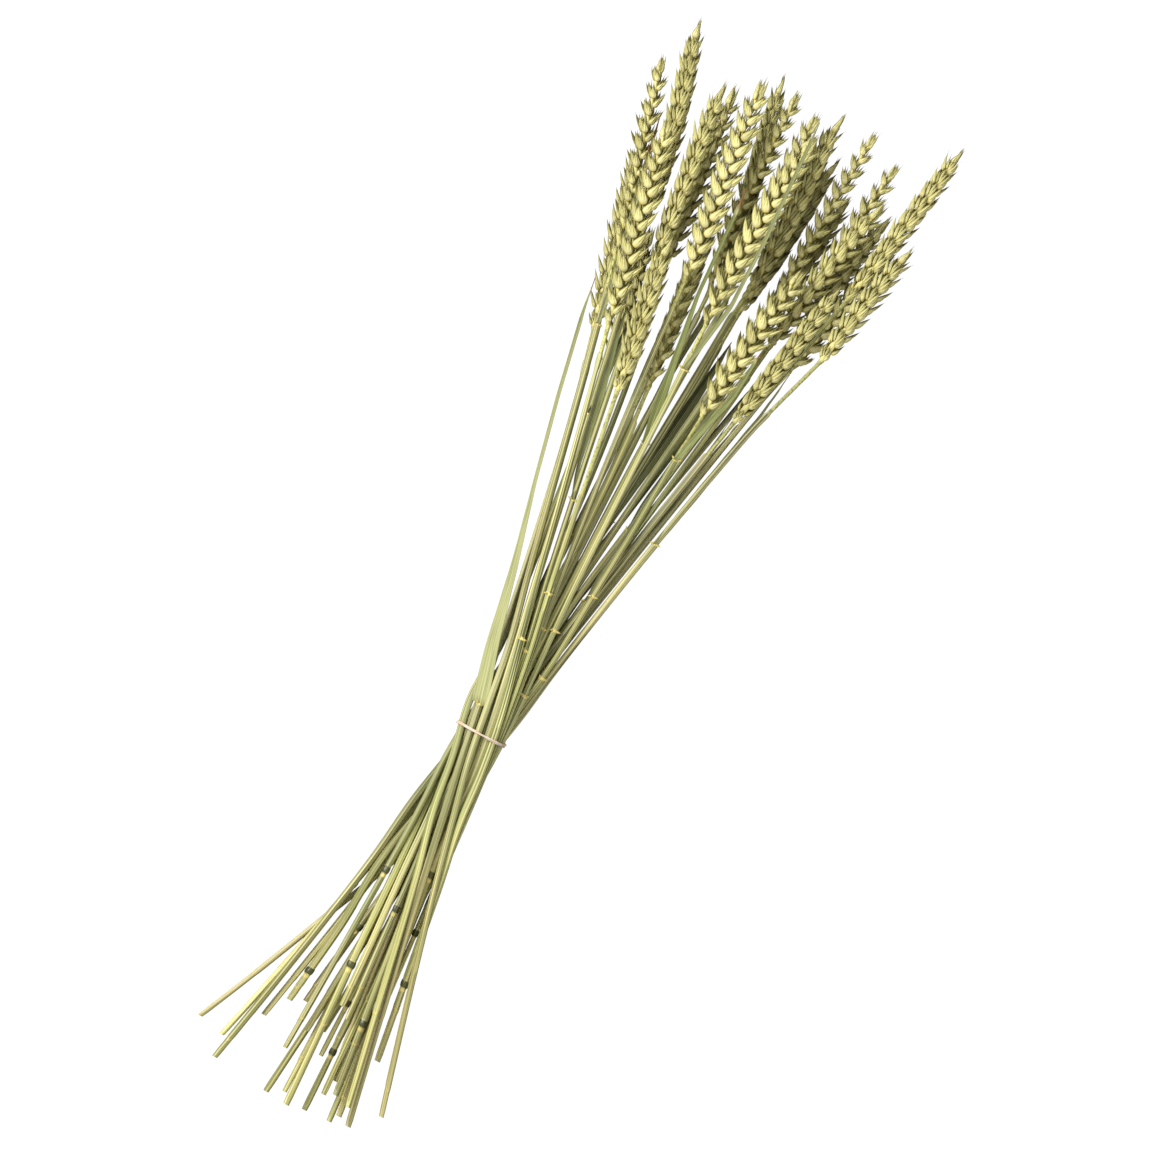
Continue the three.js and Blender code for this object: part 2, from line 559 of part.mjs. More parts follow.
// The tie: a closed band whose inside is held a clearance off every stem, by the support lines of the
// bunch in equal steps of angle. One of its facets is level and is the foot that the bundle rests on.
function tieGeometry(stalks, place) {
  const section = [];
  for (const x of [-TIE_WIDTH / 2, TIE_WIDTH / 2])
    stalks.forEach((stalk, i) => section.push([pointAt(place[i], x), stemRadius(stalk, x)]));
  const bands = [0, TIE_THICKNESS].map((out) => {
    const lines = Array.from({ length: TIE_FACETS }, (_, n) => {
      const angle = (n / TIE_FACETS) * 2 * Math.PI - Math.PI / 2;
      const way = [Math.cos(angle), Math.sin(angle)];
      const furthest = Math.max(...section.map(([p, radius]) => p.y * way[0] + p.z * way[1] + radius));
      return { way, reach: furthest + CLEARANCE + out };
    });
    lines[0].reach = out - TIE_THICKNESS;
    return lines.map((a, n) => {
      const b = lines[(n + 1) % TIE_FACETS];
      const cross = a.way[0] * b.way[1] - a.way[1] * b.way[0];
      const y = (a.reach * b.way[1] - b.reach * a.way[1]) / cross;
      const z = (a.way[0] * b.reach - b.way[0] * a.reach) / cross;
      return [y, z];
    });
  });
  const [inner, outer] = bands;
  const points = [];
  const triangles = [];
  for (let n = 0; n < TIE_FACETS; n++)
    for (const [ring, x] of [[inner, -1], [outer, -1], [outer, 1], [inner, 1]])
      points.push(new THREE.Vector3((x * TIE_WIDTH) / 2, ring[n][0], ring[n][1]));
  for (let n = 0; n < TIE_FACETS; n++)
    for (let s = 0; s < 4; s++) {
      const a = 4 * n + s;
      const b = 4 * n + ((s + 1) % 4);
      const c = 4 * ((n + 1) % TIE_FACETS) + ((s + 1) % 4);
      const d = 4 * ((n + 1) % TIE_FACETS) + s;
      triangles.push([a, c, b], [a, d, c]);
    }
  return closedGeometry(points, triangles);
}

function named(name, geometry, kind) {
  const mesh = new THREE.Mesh(geometry, new THREE.MeshStandardMaterial({ ...COLOURS[kind], metalness: 0 }));
  mesh.name = name;
  return mesh;
}

const bundle = new THREE.Group();
const stalks = stalkPlans();
const leaves = leafPlans(stalks);
const place = settle(stalks, leaves);
stalks.forEach((stalk, i) => {
  const number = String(i + 1).padStart(2, "0");
  const pieces = [stemGeometry(stalk, place[i])];
  leaves.forEach((leaf, n) => {
    if (leaf.stalk === i) pieces.push(bladeGeometry(leaf, place[stalks.length + n]));
  });
  bundle.add(named("ear_" + number, earGeometry(stalk, place[i]), "ear"));
  bundle.add(named("stem_" + number, joined(pieces), "stem"));
});
bundle.add(named("tie", tieGeometry(stalks, place), "tie"));

export default bundle;
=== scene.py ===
"""Dresses the bundle of dried wheat: husks on every ear, fine straw, leaf blades, the tie and the stage.

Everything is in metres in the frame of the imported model: +X runs from the tie to the ears and +Z is up.
Sizes in the code are given in millimetres and leave it multiplied by MM.
"""

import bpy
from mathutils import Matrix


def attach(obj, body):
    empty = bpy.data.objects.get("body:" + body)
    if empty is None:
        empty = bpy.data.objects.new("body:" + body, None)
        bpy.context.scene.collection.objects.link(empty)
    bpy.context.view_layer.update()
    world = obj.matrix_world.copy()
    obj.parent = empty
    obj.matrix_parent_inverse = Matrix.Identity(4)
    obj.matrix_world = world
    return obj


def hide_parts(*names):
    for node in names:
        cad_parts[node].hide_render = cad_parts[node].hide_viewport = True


bl_info = {
    "name": "Dried wheat bundle",
    "version": (1, 0, 0),
    "blender": (4, 5, 0),
    "location": "View3D > Sidebar > Wheat",
    "description": "Dresses the packed bundle of dried wheat with husks, straw, leaf blades and its tie",
    "category": "Add Mesh",
}

import bpy
import numpy as np
from bpy.props import FloatProperty, FloatVectorProperty, IntProperty, PointerProperty

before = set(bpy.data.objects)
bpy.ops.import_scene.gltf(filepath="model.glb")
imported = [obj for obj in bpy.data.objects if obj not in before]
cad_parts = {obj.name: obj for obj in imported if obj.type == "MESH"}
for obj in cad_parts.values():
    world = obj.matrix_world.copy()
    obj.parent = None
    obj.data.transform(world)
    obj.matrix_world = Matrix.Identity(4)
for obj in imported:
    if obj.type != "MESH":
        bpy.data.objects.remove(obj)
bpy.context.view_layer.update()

MM = 0.001
COUNT = 27  # stalks, numbered from left to right
SAME_PLACE = 0.03  # millimetres by which two readings of one corner may differ
LEAST_RADIUS = 1  # millimetres, under which a hexagon is no section of a stem
WHOLE_TURN = 6.28  # radians, over which a random phase is drawn

# Every ear's turn about its own axis in degrees, as in the solids: at 0 its two rows of spikelets show side
# by side, at 90 one row is seen from the front. Then how full the ear is.
EAR_TURNS = (
    60, 15, 10, 80, 30, 75, 80, 5, 40, 85, 0, 90, 20, 0,
    -5, 80, 90, 0, 70, 0, 15, 50, 85, 60, 10, 80, 70,
)
EAR_PLUMPNESS = (
    0.95, 0.8, 1.0, 0.98, 0.9, 1.0, 1.04, 1.05, 0.9, 0.95, 0.72, 0.95, 0.8, 0.95,
    1.05, 0.98, 0.95, 0.78, 0.95, 0.78, 1.0, 1.0, 0.95, 0.95, 0.9, 0.96, 0.95,
)
# The share of an ear's full girth along it
GIRTH_AT = (0.0, 0.06, 0.2, 0.62, 1.0)
GIRTH = (0.55, 0.78, 1.0, 1.0, 0.66)
SLICE = 10.8  # millimetres of a solid ear whose corners give one point of its axis
FIRMNESS = 100  # how much more firmly an ear's axis is held to its two ends

# The leaf blades, by the number of their stem: where the collar is along the bundle, how much painted shade
# lies over one side of the leaf, from which share of its length on it is withered, how green it still is, and
# its width at the collar as a share of the width a little further on.
LEAF_KEYS = ("collar", "shade", "withered", "green", "root")
LEAF_ROWS = (
    (1, 14, 0.0, 0.93, 0.1, 1.05),
    (2, 225, 0.35, 0.72, 0.0, 0.75),
    (4, 180, 0.95, 1.2, 0.5, 0.75),
    (6, 135, 0.75, 1.2, 0.6, 0.9),
    (14, 180, 0.35, 0.88, 0.8, 0.75),
    (15, 225, 0.3, 1.2, 0.3, 0.75),
    (17, 135, 1.0, 1.2, 0.3, 0.75),
    (20, 135, 0.95, 1.2, 0.4, 0.75),
    (21, 180, 0.3, 0.9, 0.7, 0.75),
    (22, 90, 0.65, 0.92, 0.2, 0.75),
    (26, 48, 0.35, 0.93, 0.5, 0.75),
    (27, 135, 0.3, 0.9, 0.2, 0.75),
)
LEAVES = {number: dict(zip(LEAF_KEYS, row)) for number, *row in LEAF_ROWS}

# Further collars, where a lower leaf has broken off its sheath: stem number and place along the bundle
MOUTHS = ((3, 56), (6, 51), (8, 66), (9, 118), (15, 29), (15, 68), (21, 42), (21, 94), (24, 60), (7, 84))

# The husks of one spikelet. up, side and out place the husk's root from the spikelet's, along the ear, round
# it and away from it. lean and fan are its directions away from the ear's axis, outwards and sideways, and
# roll turns its back to the side. keel is how far its back is drawn out to an edge, and belly how pale and
# shiny its lower part is.
HUSK_KEYS = ("up", "side", "out", "lean", "fan", "roll", "long", "wide", "deep", "keel", "belly")
HUSKS = (
    (0.0, 2.1, 0.7, 23, 22, 66, 10.2, 2.7, 2.0, 1.05, 1.0),
    (0.2, -2.1, 0.7, 23, -22, -66, 10.2, 2.7, 2.0, 1.05, 1.0),
    (0.8, 1.6, 1.8, 31, 22, 54, 12.0, 1.9, 1.35, 1.2, 0.3),
    (1.1, -1.6, 1.8, 31, -22, -54, 12.0, 1.9, 1.35, 1.2, 0.3),
    (1.9, 0.7, 2.0, 28, 14, 16, 10.4, 1.2, 1.15, 1.35, 0.4),
    (2.3, -0.7, 2.0, 28, -13, -16, 10.2, 1.2, 1.15, 1.35, 0.4),
    (3.6, 0.2, 1.9, 21, 1, 4, 9.4, 1.1, 1.0, 1.35, 0.2),
    (3.4, 0.0, 0.9, 14, 0, 0, 8.8, 2.5, 1.2, 1.0, 0.0),
)
HUSK_RINGS = np.array([0, 0.04, 0.14, 0.3, 0.5, 0.7, 0.87, 1.0, 1.0])  # along a husk; the last is its bristle
HUSK_SIDES = np.radians([90, 36, -6, -60, -120, 186, 144])  # from the keel round to the keel again
HUSK_TAPERS = (0.85, 1.4)  # the power of (1 - s) in a husk's girth, for a slim husk and for a bulbous one
HUSK_INSIDE = 0.35  # depth of a husk's inner side, as a share of its back's
BRISTLE_END = 0.4  # radius of a bristle at its end, as a share of the radius at its root
BEND_FROM = 0.25  # share of a husk's length where its middle line lies farthest out
LEAN_STRAY = 4  # degrees by which a spikelet leans more or less
FAN_STRAY = 3  # degrees by which a husk fans out more or less
# The top spikelet's lean, fan, side and length, as shares of the others'
TOP_LEAN = 0.3
TOP_FAN = 0.4
TOP_SIDE = 0.6
TOP_LONG = 1.22
# The ear's axis: its swing as a share of its radius, its girth along the ear, its place in a husk's colours
RACHIS_SWING = 0.35
RACHIS_AT = (0, 0.15, 1)
RACHIS_GIRTH = (0.85, 1, 0.7)
RACHIS_COLOUR = 0.2
FLOOR_SOFTNESS = 1.9  # millimetres above the floor over which what would go through it is pressed flat
FLOOR_GAP = 0.1

# Straws, blades and the tie, in millimetres where no share or count is named
INTO_EAR = 1.5  # how far a straw runs on past its solid
KNOT_RISE = 0.1  # how much wider than both neighbours a ring of the solid is at a knot
SHEATH_RADIUS = 1.9
NECK_RADIUS = 1.15
NECK_AT_MOST = 1.3  # radius under which a ring of the solid belongs to the neck
MOUTH_BACK = 8  # how far before the solid's neck the last sheath ends
LIP_RANGE = (8, 60)  # how far from the cut end the lowest sheath ends
KNOT_HEIGHT = 0.34
GROOVE_DEPTH = 0.14
WAIST_DEPTH = 0.24  # how much thinner the culm is at a knot's cut side
WAIST_LENGTH = 7
BLADE_LIFT = 2.1  # how far over the middle of its straw a blade starts
TIE_SIDES = 24  # corners of the solid band's outline

# The stage, in metres and radians
FLOOR_HALF = 5.0
KEY_SIZE = 1.0
KEY_PLACE = (0.35, 1.25, 1.5)
KEY_TURN = (-0.66, 0.14, 0)


def from_screen(red, green, blue):
    """The linear colour of a screen colour of 0 to 255: ((c + 0.055) / 1.055) to the power 2.4."""
    return tuple(((np.array([red, green, blue]) / 255 + 0.055) / 1.055) ** 2.4)


def colour(name, description, *screen):
    """A colour property with its default given as a screen colour."""
    shown = from_screen(*screen)
    return FloatVectorProperty(
        name=name, description=description, subtype="COLOR", size=3, min=0, max=1, default=shown
    )


def length(name, description, millimetres):
    """A length property with its default given in millimetres."""
    return FloatProperty(
        name=name, description=description, subtype="DISTANCE", unit="LENGTH", default=millimetres * MM, min=0
    )


def ratio(name, description, default):
    """A property that is a plain number."""
    return FloatProperty(name=name, description=description, default=default)


class WheatEarSettings(bpy.types.PropertyGroup):
    """Sizes and colours of the ears."""

    pitch: length("Spikelet pitch", "Distance between two spikelets of one row", 9.3)
    foot: length("Foot", "Bare axis under the lowest spikelet", 1.5)
    crown: length("Crown", "Length kept for the spikelet at the very top", 8)
    rachis: length("Rachis", "Radius of the ear's axis", 1.9)
    awn: length("Awn point", "Bristle on a husk's tip, at the foot of the ear", 0.7)
    top_awn: length("Top awn", "How much longer the bristles are at the top of the ear", 2.6)
    awn_radius: length("Awn radius", "Radius of a bristle", 0.1)
    bend: ratio("Bend", "How far a husk's tip curves in, as a share", 0.1)
    scatter: ratio("Scatter", "How unlike one another the husks are", 0.12)
    seed: IntProperty(name="Seed", description="Start of the random draws", default=11)
    belly: colour("Belly", "The swollen, shiny lower part of a husk", 190, 183, 131)
    flank: colour("Flank", "The middle of a husk", 197, 190, 127)
    point: colour("Point", "The papery end of a husk", 184, 176, 113)
    # Also darkens a husk's margins and inner side: partly their own green, partly painted shade between the
    # husks
    vein_and_shade: colour("Vein", "The green veins and the margins of a husk", 112, 106, 40)
    seat: colour("Seat", "The yellow root of a husk", 207, 189, 101)


class WheatStrawSettings(bpy.types.PropertyGroup):
    """Sizes and colours of the culms and their sheaths."""

    step: length("Step", "Distance between two rings of the surface", 4)
    bore: ratio("Bore", "Hollow of a cut straw, as a share of its radius", 0.62)
    bore_depth: length("Bore depth", "How deep the hollow of a cut straw is open", 14)
    knot_half: length("Knot", "Half the length of a knot's dark band", 1.9)
    sheath_wall: length("Sheath wall", "Thickness of a leaf sheath", 0.2)
    seed: IntProperty(name="Seed", description="Start of the random draws", default=5)
    culm: colour("Culm", "Bare straw", 203, 195, 124)
    sheath: colour("Sheath", "Leaf sheath round the culm", 158, 158, 116)
    green: colour("Green", "Green straw", 126, 131, 68)
    tan: colour("Tan", "Weathered straw", 188, 172, 118)
    # The knot colour also paints the shade inside a cut straw's hollow
    knot: colour("Knot", "The dark band of a knot", 70, 71, 28)
    ring: colour("Ring", "The pale rings beside a knot and the collar of a leaf", 210, 189, 106)
    neck: colour("Neck", "Bare culm under the ear", 169, 166, 97)


class WheatLeafSettings(bpy.types.PropertyGroup):
    """Sizes and colours of the leaf blades."""

    thickness: length("Thickness", "Thickness of a blade", 0.3)
    narrow: length("Narrow", "Least half width of a blade, short of its tip", 1.1)
    fold: ratio("Fold", "Depth of the trough along a blade, as a share", 0.16)
    step: length("Step", "Distance between two rings of the surface", 4)
    face: colour("Face", "Dry green leaf", 154, 155, 106)
    # Painted shade for the leaves that lie in shade inside the bunch; the blades' own dark streaks take the
    # same colour
    shade: colour("Shade", "Darker leaf", 32, 35, 12)
    rib: colour("Rib", "Midrib and pale veins", 180, 177, 125)
    green: colour("Green", "Still green leaf", 111, 124, 54)
    tip: colour("Tip", "Withered tip", 124, 84, 50)


class WheatTieSettings(bpy.types.PropertyGroup):
    """Size and colour of the elastic."""

    radius: length("Radius", "Half the thickness of the elastic", 0.5)
    band: colour("Band", "Beige elastic", 203, 180, 155)


class WheatStageSettings(bpy.types.PropertyGroup):
    """The floor, the lights and the camera."""

    floor: colour("Floor", "Pale floor", 60, 60, 60)
    glow: ratio("Glow", "How white the floor looks of itself", 0.99)
    view_width: length("View width", "Width of the picture where the bundle lies", 626.4)
    distance: length("Distance", "Height of the camera above the bundle", 4000)
    middle: FloatVectorProperty(
        name="Middle",
        description="Where the camera looks",
        subtype="XYZ",
        unit="LENGTH",
        default=(0.0987, -0.0064, 0.025),
    )
    turn: FloatProperty(
        name="Turn",
        description="Turn of the picture",
        subtype="ANGLE",
        unit="ROTATION",
        default=np.radians(-61.5),
    )
    key_power: FloatProperty(name="Key", description="Power of the soft main light", unit="POWER", default=47)
    sky: ratio("Sky", "Strength of the even light from all round", 1.07)


def corners(node):
    """The distinct corner points of a CAD node, in millimetres."""
    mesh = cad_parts[node].data
    flat = np.empty(3 * len(mesh.vertices), np.float32)
    mesh.vertices.foreach_get("co", flat)
    return np.unique(np.round(flat.reshape(-1, 3).astype(float) / MM, 3), axis=0)


def unit(vectors):
    """Vectors divided by their lengths."""
    return vectors / np.linalg.norm(vectors, axis=-1, keepdims=True)


def smooth_curve(at, knots, values):
    """A curve through values at knots, read at other places.

    Between two knots it is the cubic with the values and the mean slopes of the polyline at both.
    """
    slope = np.gradient(values, knots, axis=0)
    k = np.clip(np.searchsorted(knots, at) - 1, 0, len(knots) - 2)
    span = (knots[k + 1] - knots[k])[:, None]
    t = (at - knots[k])[:, None] / span
    start = (1 + 2 * t) * (1 - t) ** 2 * values[k] + t * (1 - t) ** 2 * span * slope[k]
    return start + t**2 * (3 - 2 * t) * values[k + 1] + t**2 * (t - 1) * span * slope[k + 1]


def bump_at(x, middle, half):
    """A smooth hump, 1 at middle and a third at half away from it: exp(-((x - middle) / half)^2)."""
    return np.exp(-(((x - middle) / half) ** 2))


def step_at(x, middle, width):
    """A smooth step up from 0 to 1 at middle: 1 / (1 + exp(-(x - middle) / width)), by way of tanh."""
    return 0.5 + 0.5 * np.tanh((x - middle) / (2 * width))


def hexagon(flat):
    """Centre, radius and misfit of the regular hexagon among the corners of one plane, given as y, z.

    Two of its corners lie level, one diameter apart. The other four lie at 60 degrees to them. Of all the
    pairs of corners, the one is taken whose other four are found best.
    """
    first, second = np.triu_indices(len(flat), 1)
    middle = (flat[first] + flat[second]) / 2
    radius = np.abs(flat[first, 0] - flat[second, 0]) / 2
    level = np.abs(flat[first, 1] - flat[second, 1])
    others = np.array([[0.5, 0.866], [-0.5, 0.866], [0.5, -0.866], [-0.5, -0.866]])
    wanted = middle[:, None] + radius[:, None, None] * others
    gaps = np.linalg.norm(wanted[:, :, None] - flat[None, None], axis=-1).min(-1).max(-1)
    misfit = gaps + level + 10 * (radius < LEAST_RADIUS)
    best = misfit.argmin()
    return middle[best], radius[best], misfit[best]


def stem_sections(number):
    """The sections of a stem's solid, and of its blade, read plane by plane across the bundle.

    Returns the stem as rows of x, y, z, radius, and the blade as rows of x, y, z, half width as dy, dz.
    A blade's section has four corners. Its middle is their mean, and its half width is their main direction
    (the first singular vector) times half their spread along it.
    """
    points = corners(f"stem_{number:02d}")
    planes, which = np.unique(points[:, 0], return_inverse=True)
    collar = LEAVES[number]["collar"] if number in LEAVES else np.inf
    rings, blade = [], []
    for k, x in enumerate(planes):
        flat = points[which == k, 1:]
        if len(flat) >= 6:
            centre, radius, misfit = hexagon(flat)
            if misfit < SAME_PLACE:
                rings.append([x, *centre, radius])
                away = np.abs(np.linalg.norm(flat - centre, axis=1) - radius) > SAME_PLACE
                flat = flat[away]
        if len(flat) == 4 and x > collar:
            middle = flat.mean(0)
            _, spread, ways = np.linalg.svd(flat - middle)
            blade.append([x, *middle, *(ways[0] * spread[0] / 2)])
    return np.array(rings), np.array(blade)


def tube(rings, sides):
    """Faces of a tube of closed rings: quads between the rings and one polygon over each end.

    Returns corner numbers, corners per face, and each corner's place round the ring (0 to 1) and ring number.
    """
    ring, side = np.meshgrid(np.arange(rings - 1), np.arange(sides), indexing="ij")
    after = side + 1
    r = np.stack([ring, ring, ring + 1, ring + 1], -1).reshape(-1)
    s = np.stack([side, after, after, side], -1).reshape(-1)
    last = np.arange(sides)
    r = np.concatenate([r, np.zeros(sides, int), np.full(sides, rings - 1)])
    s = np.concatenate([s, last[::-1], last])
    sizes = np.concatenate([np.full((rings - 1) * sides, 4), [sides, sides]])
    return r * sides + s % sides, sizes, s / sides, r


def add_piece(name, points, faces, uv, masks, material, node):
    """Add a smooth mesh with its UV map and masks, which rides on the bundle and stands for a node.

    points are in millimetres. faces are corner numbers and corners per face.
    """
    loops, sizes = faces
    mesh = bpy.data.meshes.new(name)
    mesh.vertices.add(len(points))
    mesh.vertices.foreach_set("co", (points * MM).astype(np.float32).ravel())
    mesh.loops.add(len(loops))
    mesh.loops.foreach_set("vertex_index", loops.astype(np.int32))
    mesh.polygons.add(len(sizes))
    mesh.polygons.foreach_set("loop_start", (np.cumsum(sizes) - sizes).astype(np.int32))
    mesh.polygons.foreach_set("loop_total", sizes.astype(np.int32))
    mesh.update(calc_edges=True)
    mesh.polygons.foreach_set("use_smooth", np.ones(len(sizes), bool))
    layer = mesh.uv_layers.new(name="surface")
    layer.data.foreach_set("uv", uv.astype(np.float32).ravel())
    for mask, values in masks.items():
        layer = mesh.attributes.new(mask, "FLOAT", "POINT")
        layer.data.foreach_set("value", values.astype(np.float32).ravel())
    mesh.materials.append(material)
    if mesh.validate():
        raise RuntimeError(f"{name} had faces that Blender had to mend")
    piece = bpy.data.objects.new(name, mesh)
    bpy.context.scene.collection.objects.link(piece)
    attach(piece, "root")
    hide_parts(node)


# Ears


def ear_axis(number):
    """An ear's axis: its foot and tip, and cubics y(x) and z(x) through the middle of its solid.

    The solid is cut into slices about one spikelet long. The cubics are fitted by least squares to the mean
    corner of every slice but the first and the last, and far more firmly to the foot and the tip.
    """
    points = corners(f"ear_{number:02d}")
    x = points[:, 0]
    foot = points[x < x.min() + SAME_PLACE].mean(0)
    tip = points[x.argmax()]
    slices = int((tip[0] - foot[0]) / SLICE)
    which = np.minimum(((x - foot[0]) / (tip[0] - foot[0]) * slices).astype(int), slices - 1)
    total = np.bincount(which, minlength=slices)
    sums = [np.bincount(which, weights=points[:, c], minlength=slices) for c in range(3)]
    known = np.vstack([foot, (np.stack(sums, -1) / total[:, None])[1:-1], tip])
    weight = np.ones(len(known))
    weight[[0, -1]] = FIRMNESS
    return foot, tip, [np.polyfit(known[:, 0], known[:, c], 3, w=weight) for c in (1, 2)]


def husk_surface(root, ways, sizes, awn, settings):
    """Every husk as a closed keeled teardrop with a bristle, on a grid of rings and sides.

    root is where each husk starts, ways its length, width and back directions, sizes its length, half width,
    depth, keel and bulge. At s along the husk its girth is s^0.5 (1 - s)^e, scaled to 1 at its fullest, which
    is where s = 0.5 / (0.5 + e), and never under the bristle's. The bulge sets e. Round the ring at angle q a
    point lies girth times (half width cos q, depth sin q), its inner side flatter and its keel drawn out. The
    middle line bends in by bend times the length times (s - BEND_FROM)^2.
    """
    s, q = HUSK_RINGS, HUSK_SIDES
    at_keel = np.arange(len(q)) == 0
    at_end = np.arange(len(s)) == len(s) - 1
    far, wide, deep, keel, bulge = (sizes[:, None, c] for c in range(5))
    power = HUSK_TAPERS[0] + (HUSK_TAPERS[1] - HUSK_TAPERS[0]) * bulge
    fullest = 0.5 / (0.5 + power)
    girth = s**0.5 * (1 - s) ** power / (fullest**0.5 * (1 - fullest) ** power)
    out = np.where(np.sin(q) > 0, np.sin(q), HUSK_INSIDE * np.sin(q)) * np.where(at_keel, keel, 1.0)
    thin = settings.awn_radius / MM
    along = far * s + at_end * awn[:, None]
    bristle = np.where(at_end, BRISTLE_END * thin, thin)
    half_width = np.maximum(wide * girth, bristle)
    depth = np.maximum(deep * girth, bristle)
    inward = -settings.bend * far * (s - BEND_FROM) ** 2
    line = root[:, None] + ways[0][:, None] * along[..., None] + ways[2][:, None] * inward[..., None]
    points = line[:, :, None] + ways[1][:, None, None] * (half_width[..., None] * np.cos(q))[..., None]
    return points + ways[2][:, None, None] * (depth[..., None] * out[:, None])[..., None]


def spikelet_frames(number, distances):
    """At every distance from the foot: the axis point and direction, the row's way out and the way round.

    The row's way out is the vector (0, cos turn, sin turn) made square to the axis. The way round is axis x
    way out.
    """
    foot, tip, (in_y, in_z) = ear_axis(number)
    x = foot[0] + (tip[0] - foot[0]) * distances / np.linalg.norm(tip - foot)
    place = np.stack([x, np.polyval(in_y, x), np.polyval(in_z, x)], -1)
    slopes = [np.polyval(np.polyder(cubic), x) for cubic in (in_y, in_z)]
    axis = unit(np.stack([np.ones_like(x), *slopes], -1))
    turn = np.radians(EAR_TURNS[number - 1])
    side = np.array([0, np.cos(turn), np.sin(turn)])
    out = unit(side - axis * (axis @ side)[:, None])
    return place, axis, out, np.cross(axis, out)


def pressed_flat(points):
    """The points, with what is near or under the floor bent so that it lies on it.

    Below a soft height h over the floor, z becomes gap + (h - gap) exp((z - h) / (h - gap)).
    """
    room = FLOOR_SOFTNESS - FLOOR_GAP
    low = points[:, 2] < FLOOR_SOFTNESS
    points[low, 2] = FLOOR_GAP + room * np.exp((points[low, 2] - FLOOR_SOFTNESS) / room)
    return points


def build_ear(number, settings, material):
    """One ear: two rows of spikelets half a pitch apart on a thin axis, each a fan of husks.

    Every second spikelet is turned half a circle. The one at the top is turned a quarter, with its back up.
    """
    draw = np.random.default_rng(settings.seed * 100 + number)
    foot, tip, _ = ear_axis(number)
    whole = np.linalg.norm(tip - foot)
    full = EAR_PLUMPNESS[number - 1]
    husked = whole - (settings.foot + settings.crown) / MM
    count = int(round(2 * husked / (settings.pitch / MM)))
    distances = np.append(settings.foot / MM + husked * np.arange(count) / count, whole - settings.crown / MM)
    place, axis, out, around = spikelet_frames(number, distances)
    flip = np.where(np.arange(count + 1) % 2, -1.0, 1.0)[:, None]
    out, around = out * flip, around * flip
    top = (np.arange(count + 1) == count)[:, None]
    facing = np.where(around[:, 2:] < 0, -1.0, 1.0)
    out, around = np.where(top, facing * around, out), np.where(top, -facing * out, around)
    girth = full * np.interp(distances / whole, GIRTH_AT, GIRTH)[:, None]

    table = dict(zip(HUSK_KEYS, np.array(HUSKS, float).T))
    shape = (count + 1, len(HUSKS))

    def stray(share):
        return 1 + settings.scatter * share * draw.uniform(-1, 1, shape)

    lean = table["lean"] * stray(0.8) * np.where(top, TOP_LEAN, 1.0)
    lean = np.radians(lean + LEAN_STRAY * draw.uniform(-1, 1, shape[0])[:, None])
    fan = table["fan"] * stray(1) * np.where(top, TOP_FAN, 1.0)
    fan = np.radians(fan + FAN_STRAY * draw.uniform(-1, 1, shape))
    roll = np.radians(table["roll"] * stray(1))

    def mix(*parts):
        return sum(amount[..., None] * way[:, None] for amount, way in parts)

    forward, aside = np.cos(lean) * np.cos(fan), np.cos(lean) * np.sin(fan)
    along = unit(mix((forward, axis), (np.sin(lean), out), (aside, around)))
    back = mix((-np.sin(lean), axis), (np.cos(lean), out))
    back = unit(back - along * (along * back).sum(-1, keepdims=True))
    width = np.cross(back, along)
    back = back * np.cos(roll)[..., None] - width * np.sin(roll)[..., None]
    width = np.cross(back, along)
    root = place[:, None] + mix(
        (girth * table["up"], axis),
        (girth * table["out"] * ~top, out),
        (girth * table["side"] * np.where(top, TOP_SIDE, 1.0), around),
    )
    long = table["long"] * girth * np.where(top, TOP_LONG, 1.0)
    sizes = [long * stray(1), table["wide"] * girth * stray(0.7), table["deep"] * girth]
    sizes = np.stack([*sizes, *(np.broadcast_to(table[key], shape) for key in ("keel", "belly"))], -1)
    longest = (settings.awn + settings.top_awn * (distances / whole)[:, None] ** 3) / MM
    awn = longest * draw.uniform(0.3, 1, shape)

    parts = (root, along, width, back, sizes)
    root, along, width, back, sizes = (part.reshape(-1, part.shape[-1]) for part in parts)
    husks = husk_surface(root, (along, width, back), sizes, awn.ravel(), settings)
    many, rings, sides, _ = husks.shape
    loops, face_sizes, u, ring = tube(rings, sides)
    starts = np.arange(many)[:, None] * rings * sides
    points = husks.reshape(-1, 3)
    tone = np.repeat(draw.uniform(0, 1, many), rings * sides)
    belly = np.repeat(np.tile(table["belly"], count + 1), rings * sides)
    uv = np.tile(np.stack([u, HUSK_RINGS[ring]], -1), (many, 1))

    core = rachis_surface(number, whole, settings)
    core_many = core.shape[0] * core.shape[1]
    core_loops, core_sizes, core_u, _ = tube(core.shape[0], core.shape[1])
    uv = np.vstack([uv, np.stack([core_u, np.full(len(core_u), RACHIS_COLOUR)], -1)])
    loops = np.concatenate([(loops[None] + starts).ravel(), core_loops + len(points)])
    faces = (loops, np.concatenate([np.tile(face_sizes, many), core_sizes]))
    points = pressed_flat(np.vstack([points, core.reshape(-1, 3)]))
    masks = {"tone": np.append(tone, np.full(core_many, 0.5)), "belly": np.append(belly, np.zeros(core_many))}
    add_piece(f"husks_{number:02d}", points, faces, uv, masks, material, f"ear_{number:02d}")


def rachis_surface(number, whole, settings):
    """The ear's axis, up into its top spikelet: a tube swinging by a share of radius sin(2 pi d / pitch)."""
    pitch = settings.pitch / MM
    distances = np.arange(0, whole - settings.crown / MM + pitch / 2, pitch / 4)
    place, _, out, around = spikelet_frames(number, distances)
    radius = settings.rachis / MM * np.interp(distances / whole, RACHIS_AT, RACHIS_GIRTH)
    place = place + out * (RACHIS_SWING * radius * np.sin(2 * np.pi * distances / pitch))[:, None]
    q = np.linspace(0, 2 * np.pi, 6, endpoint=False)
    ring = np.cos(q)[None, :, None] * out[:, None] + np.sin(q)[None, :, None] * around[:, None]
    return place[:, None] + radius[:, None, None] * ring


# Straw


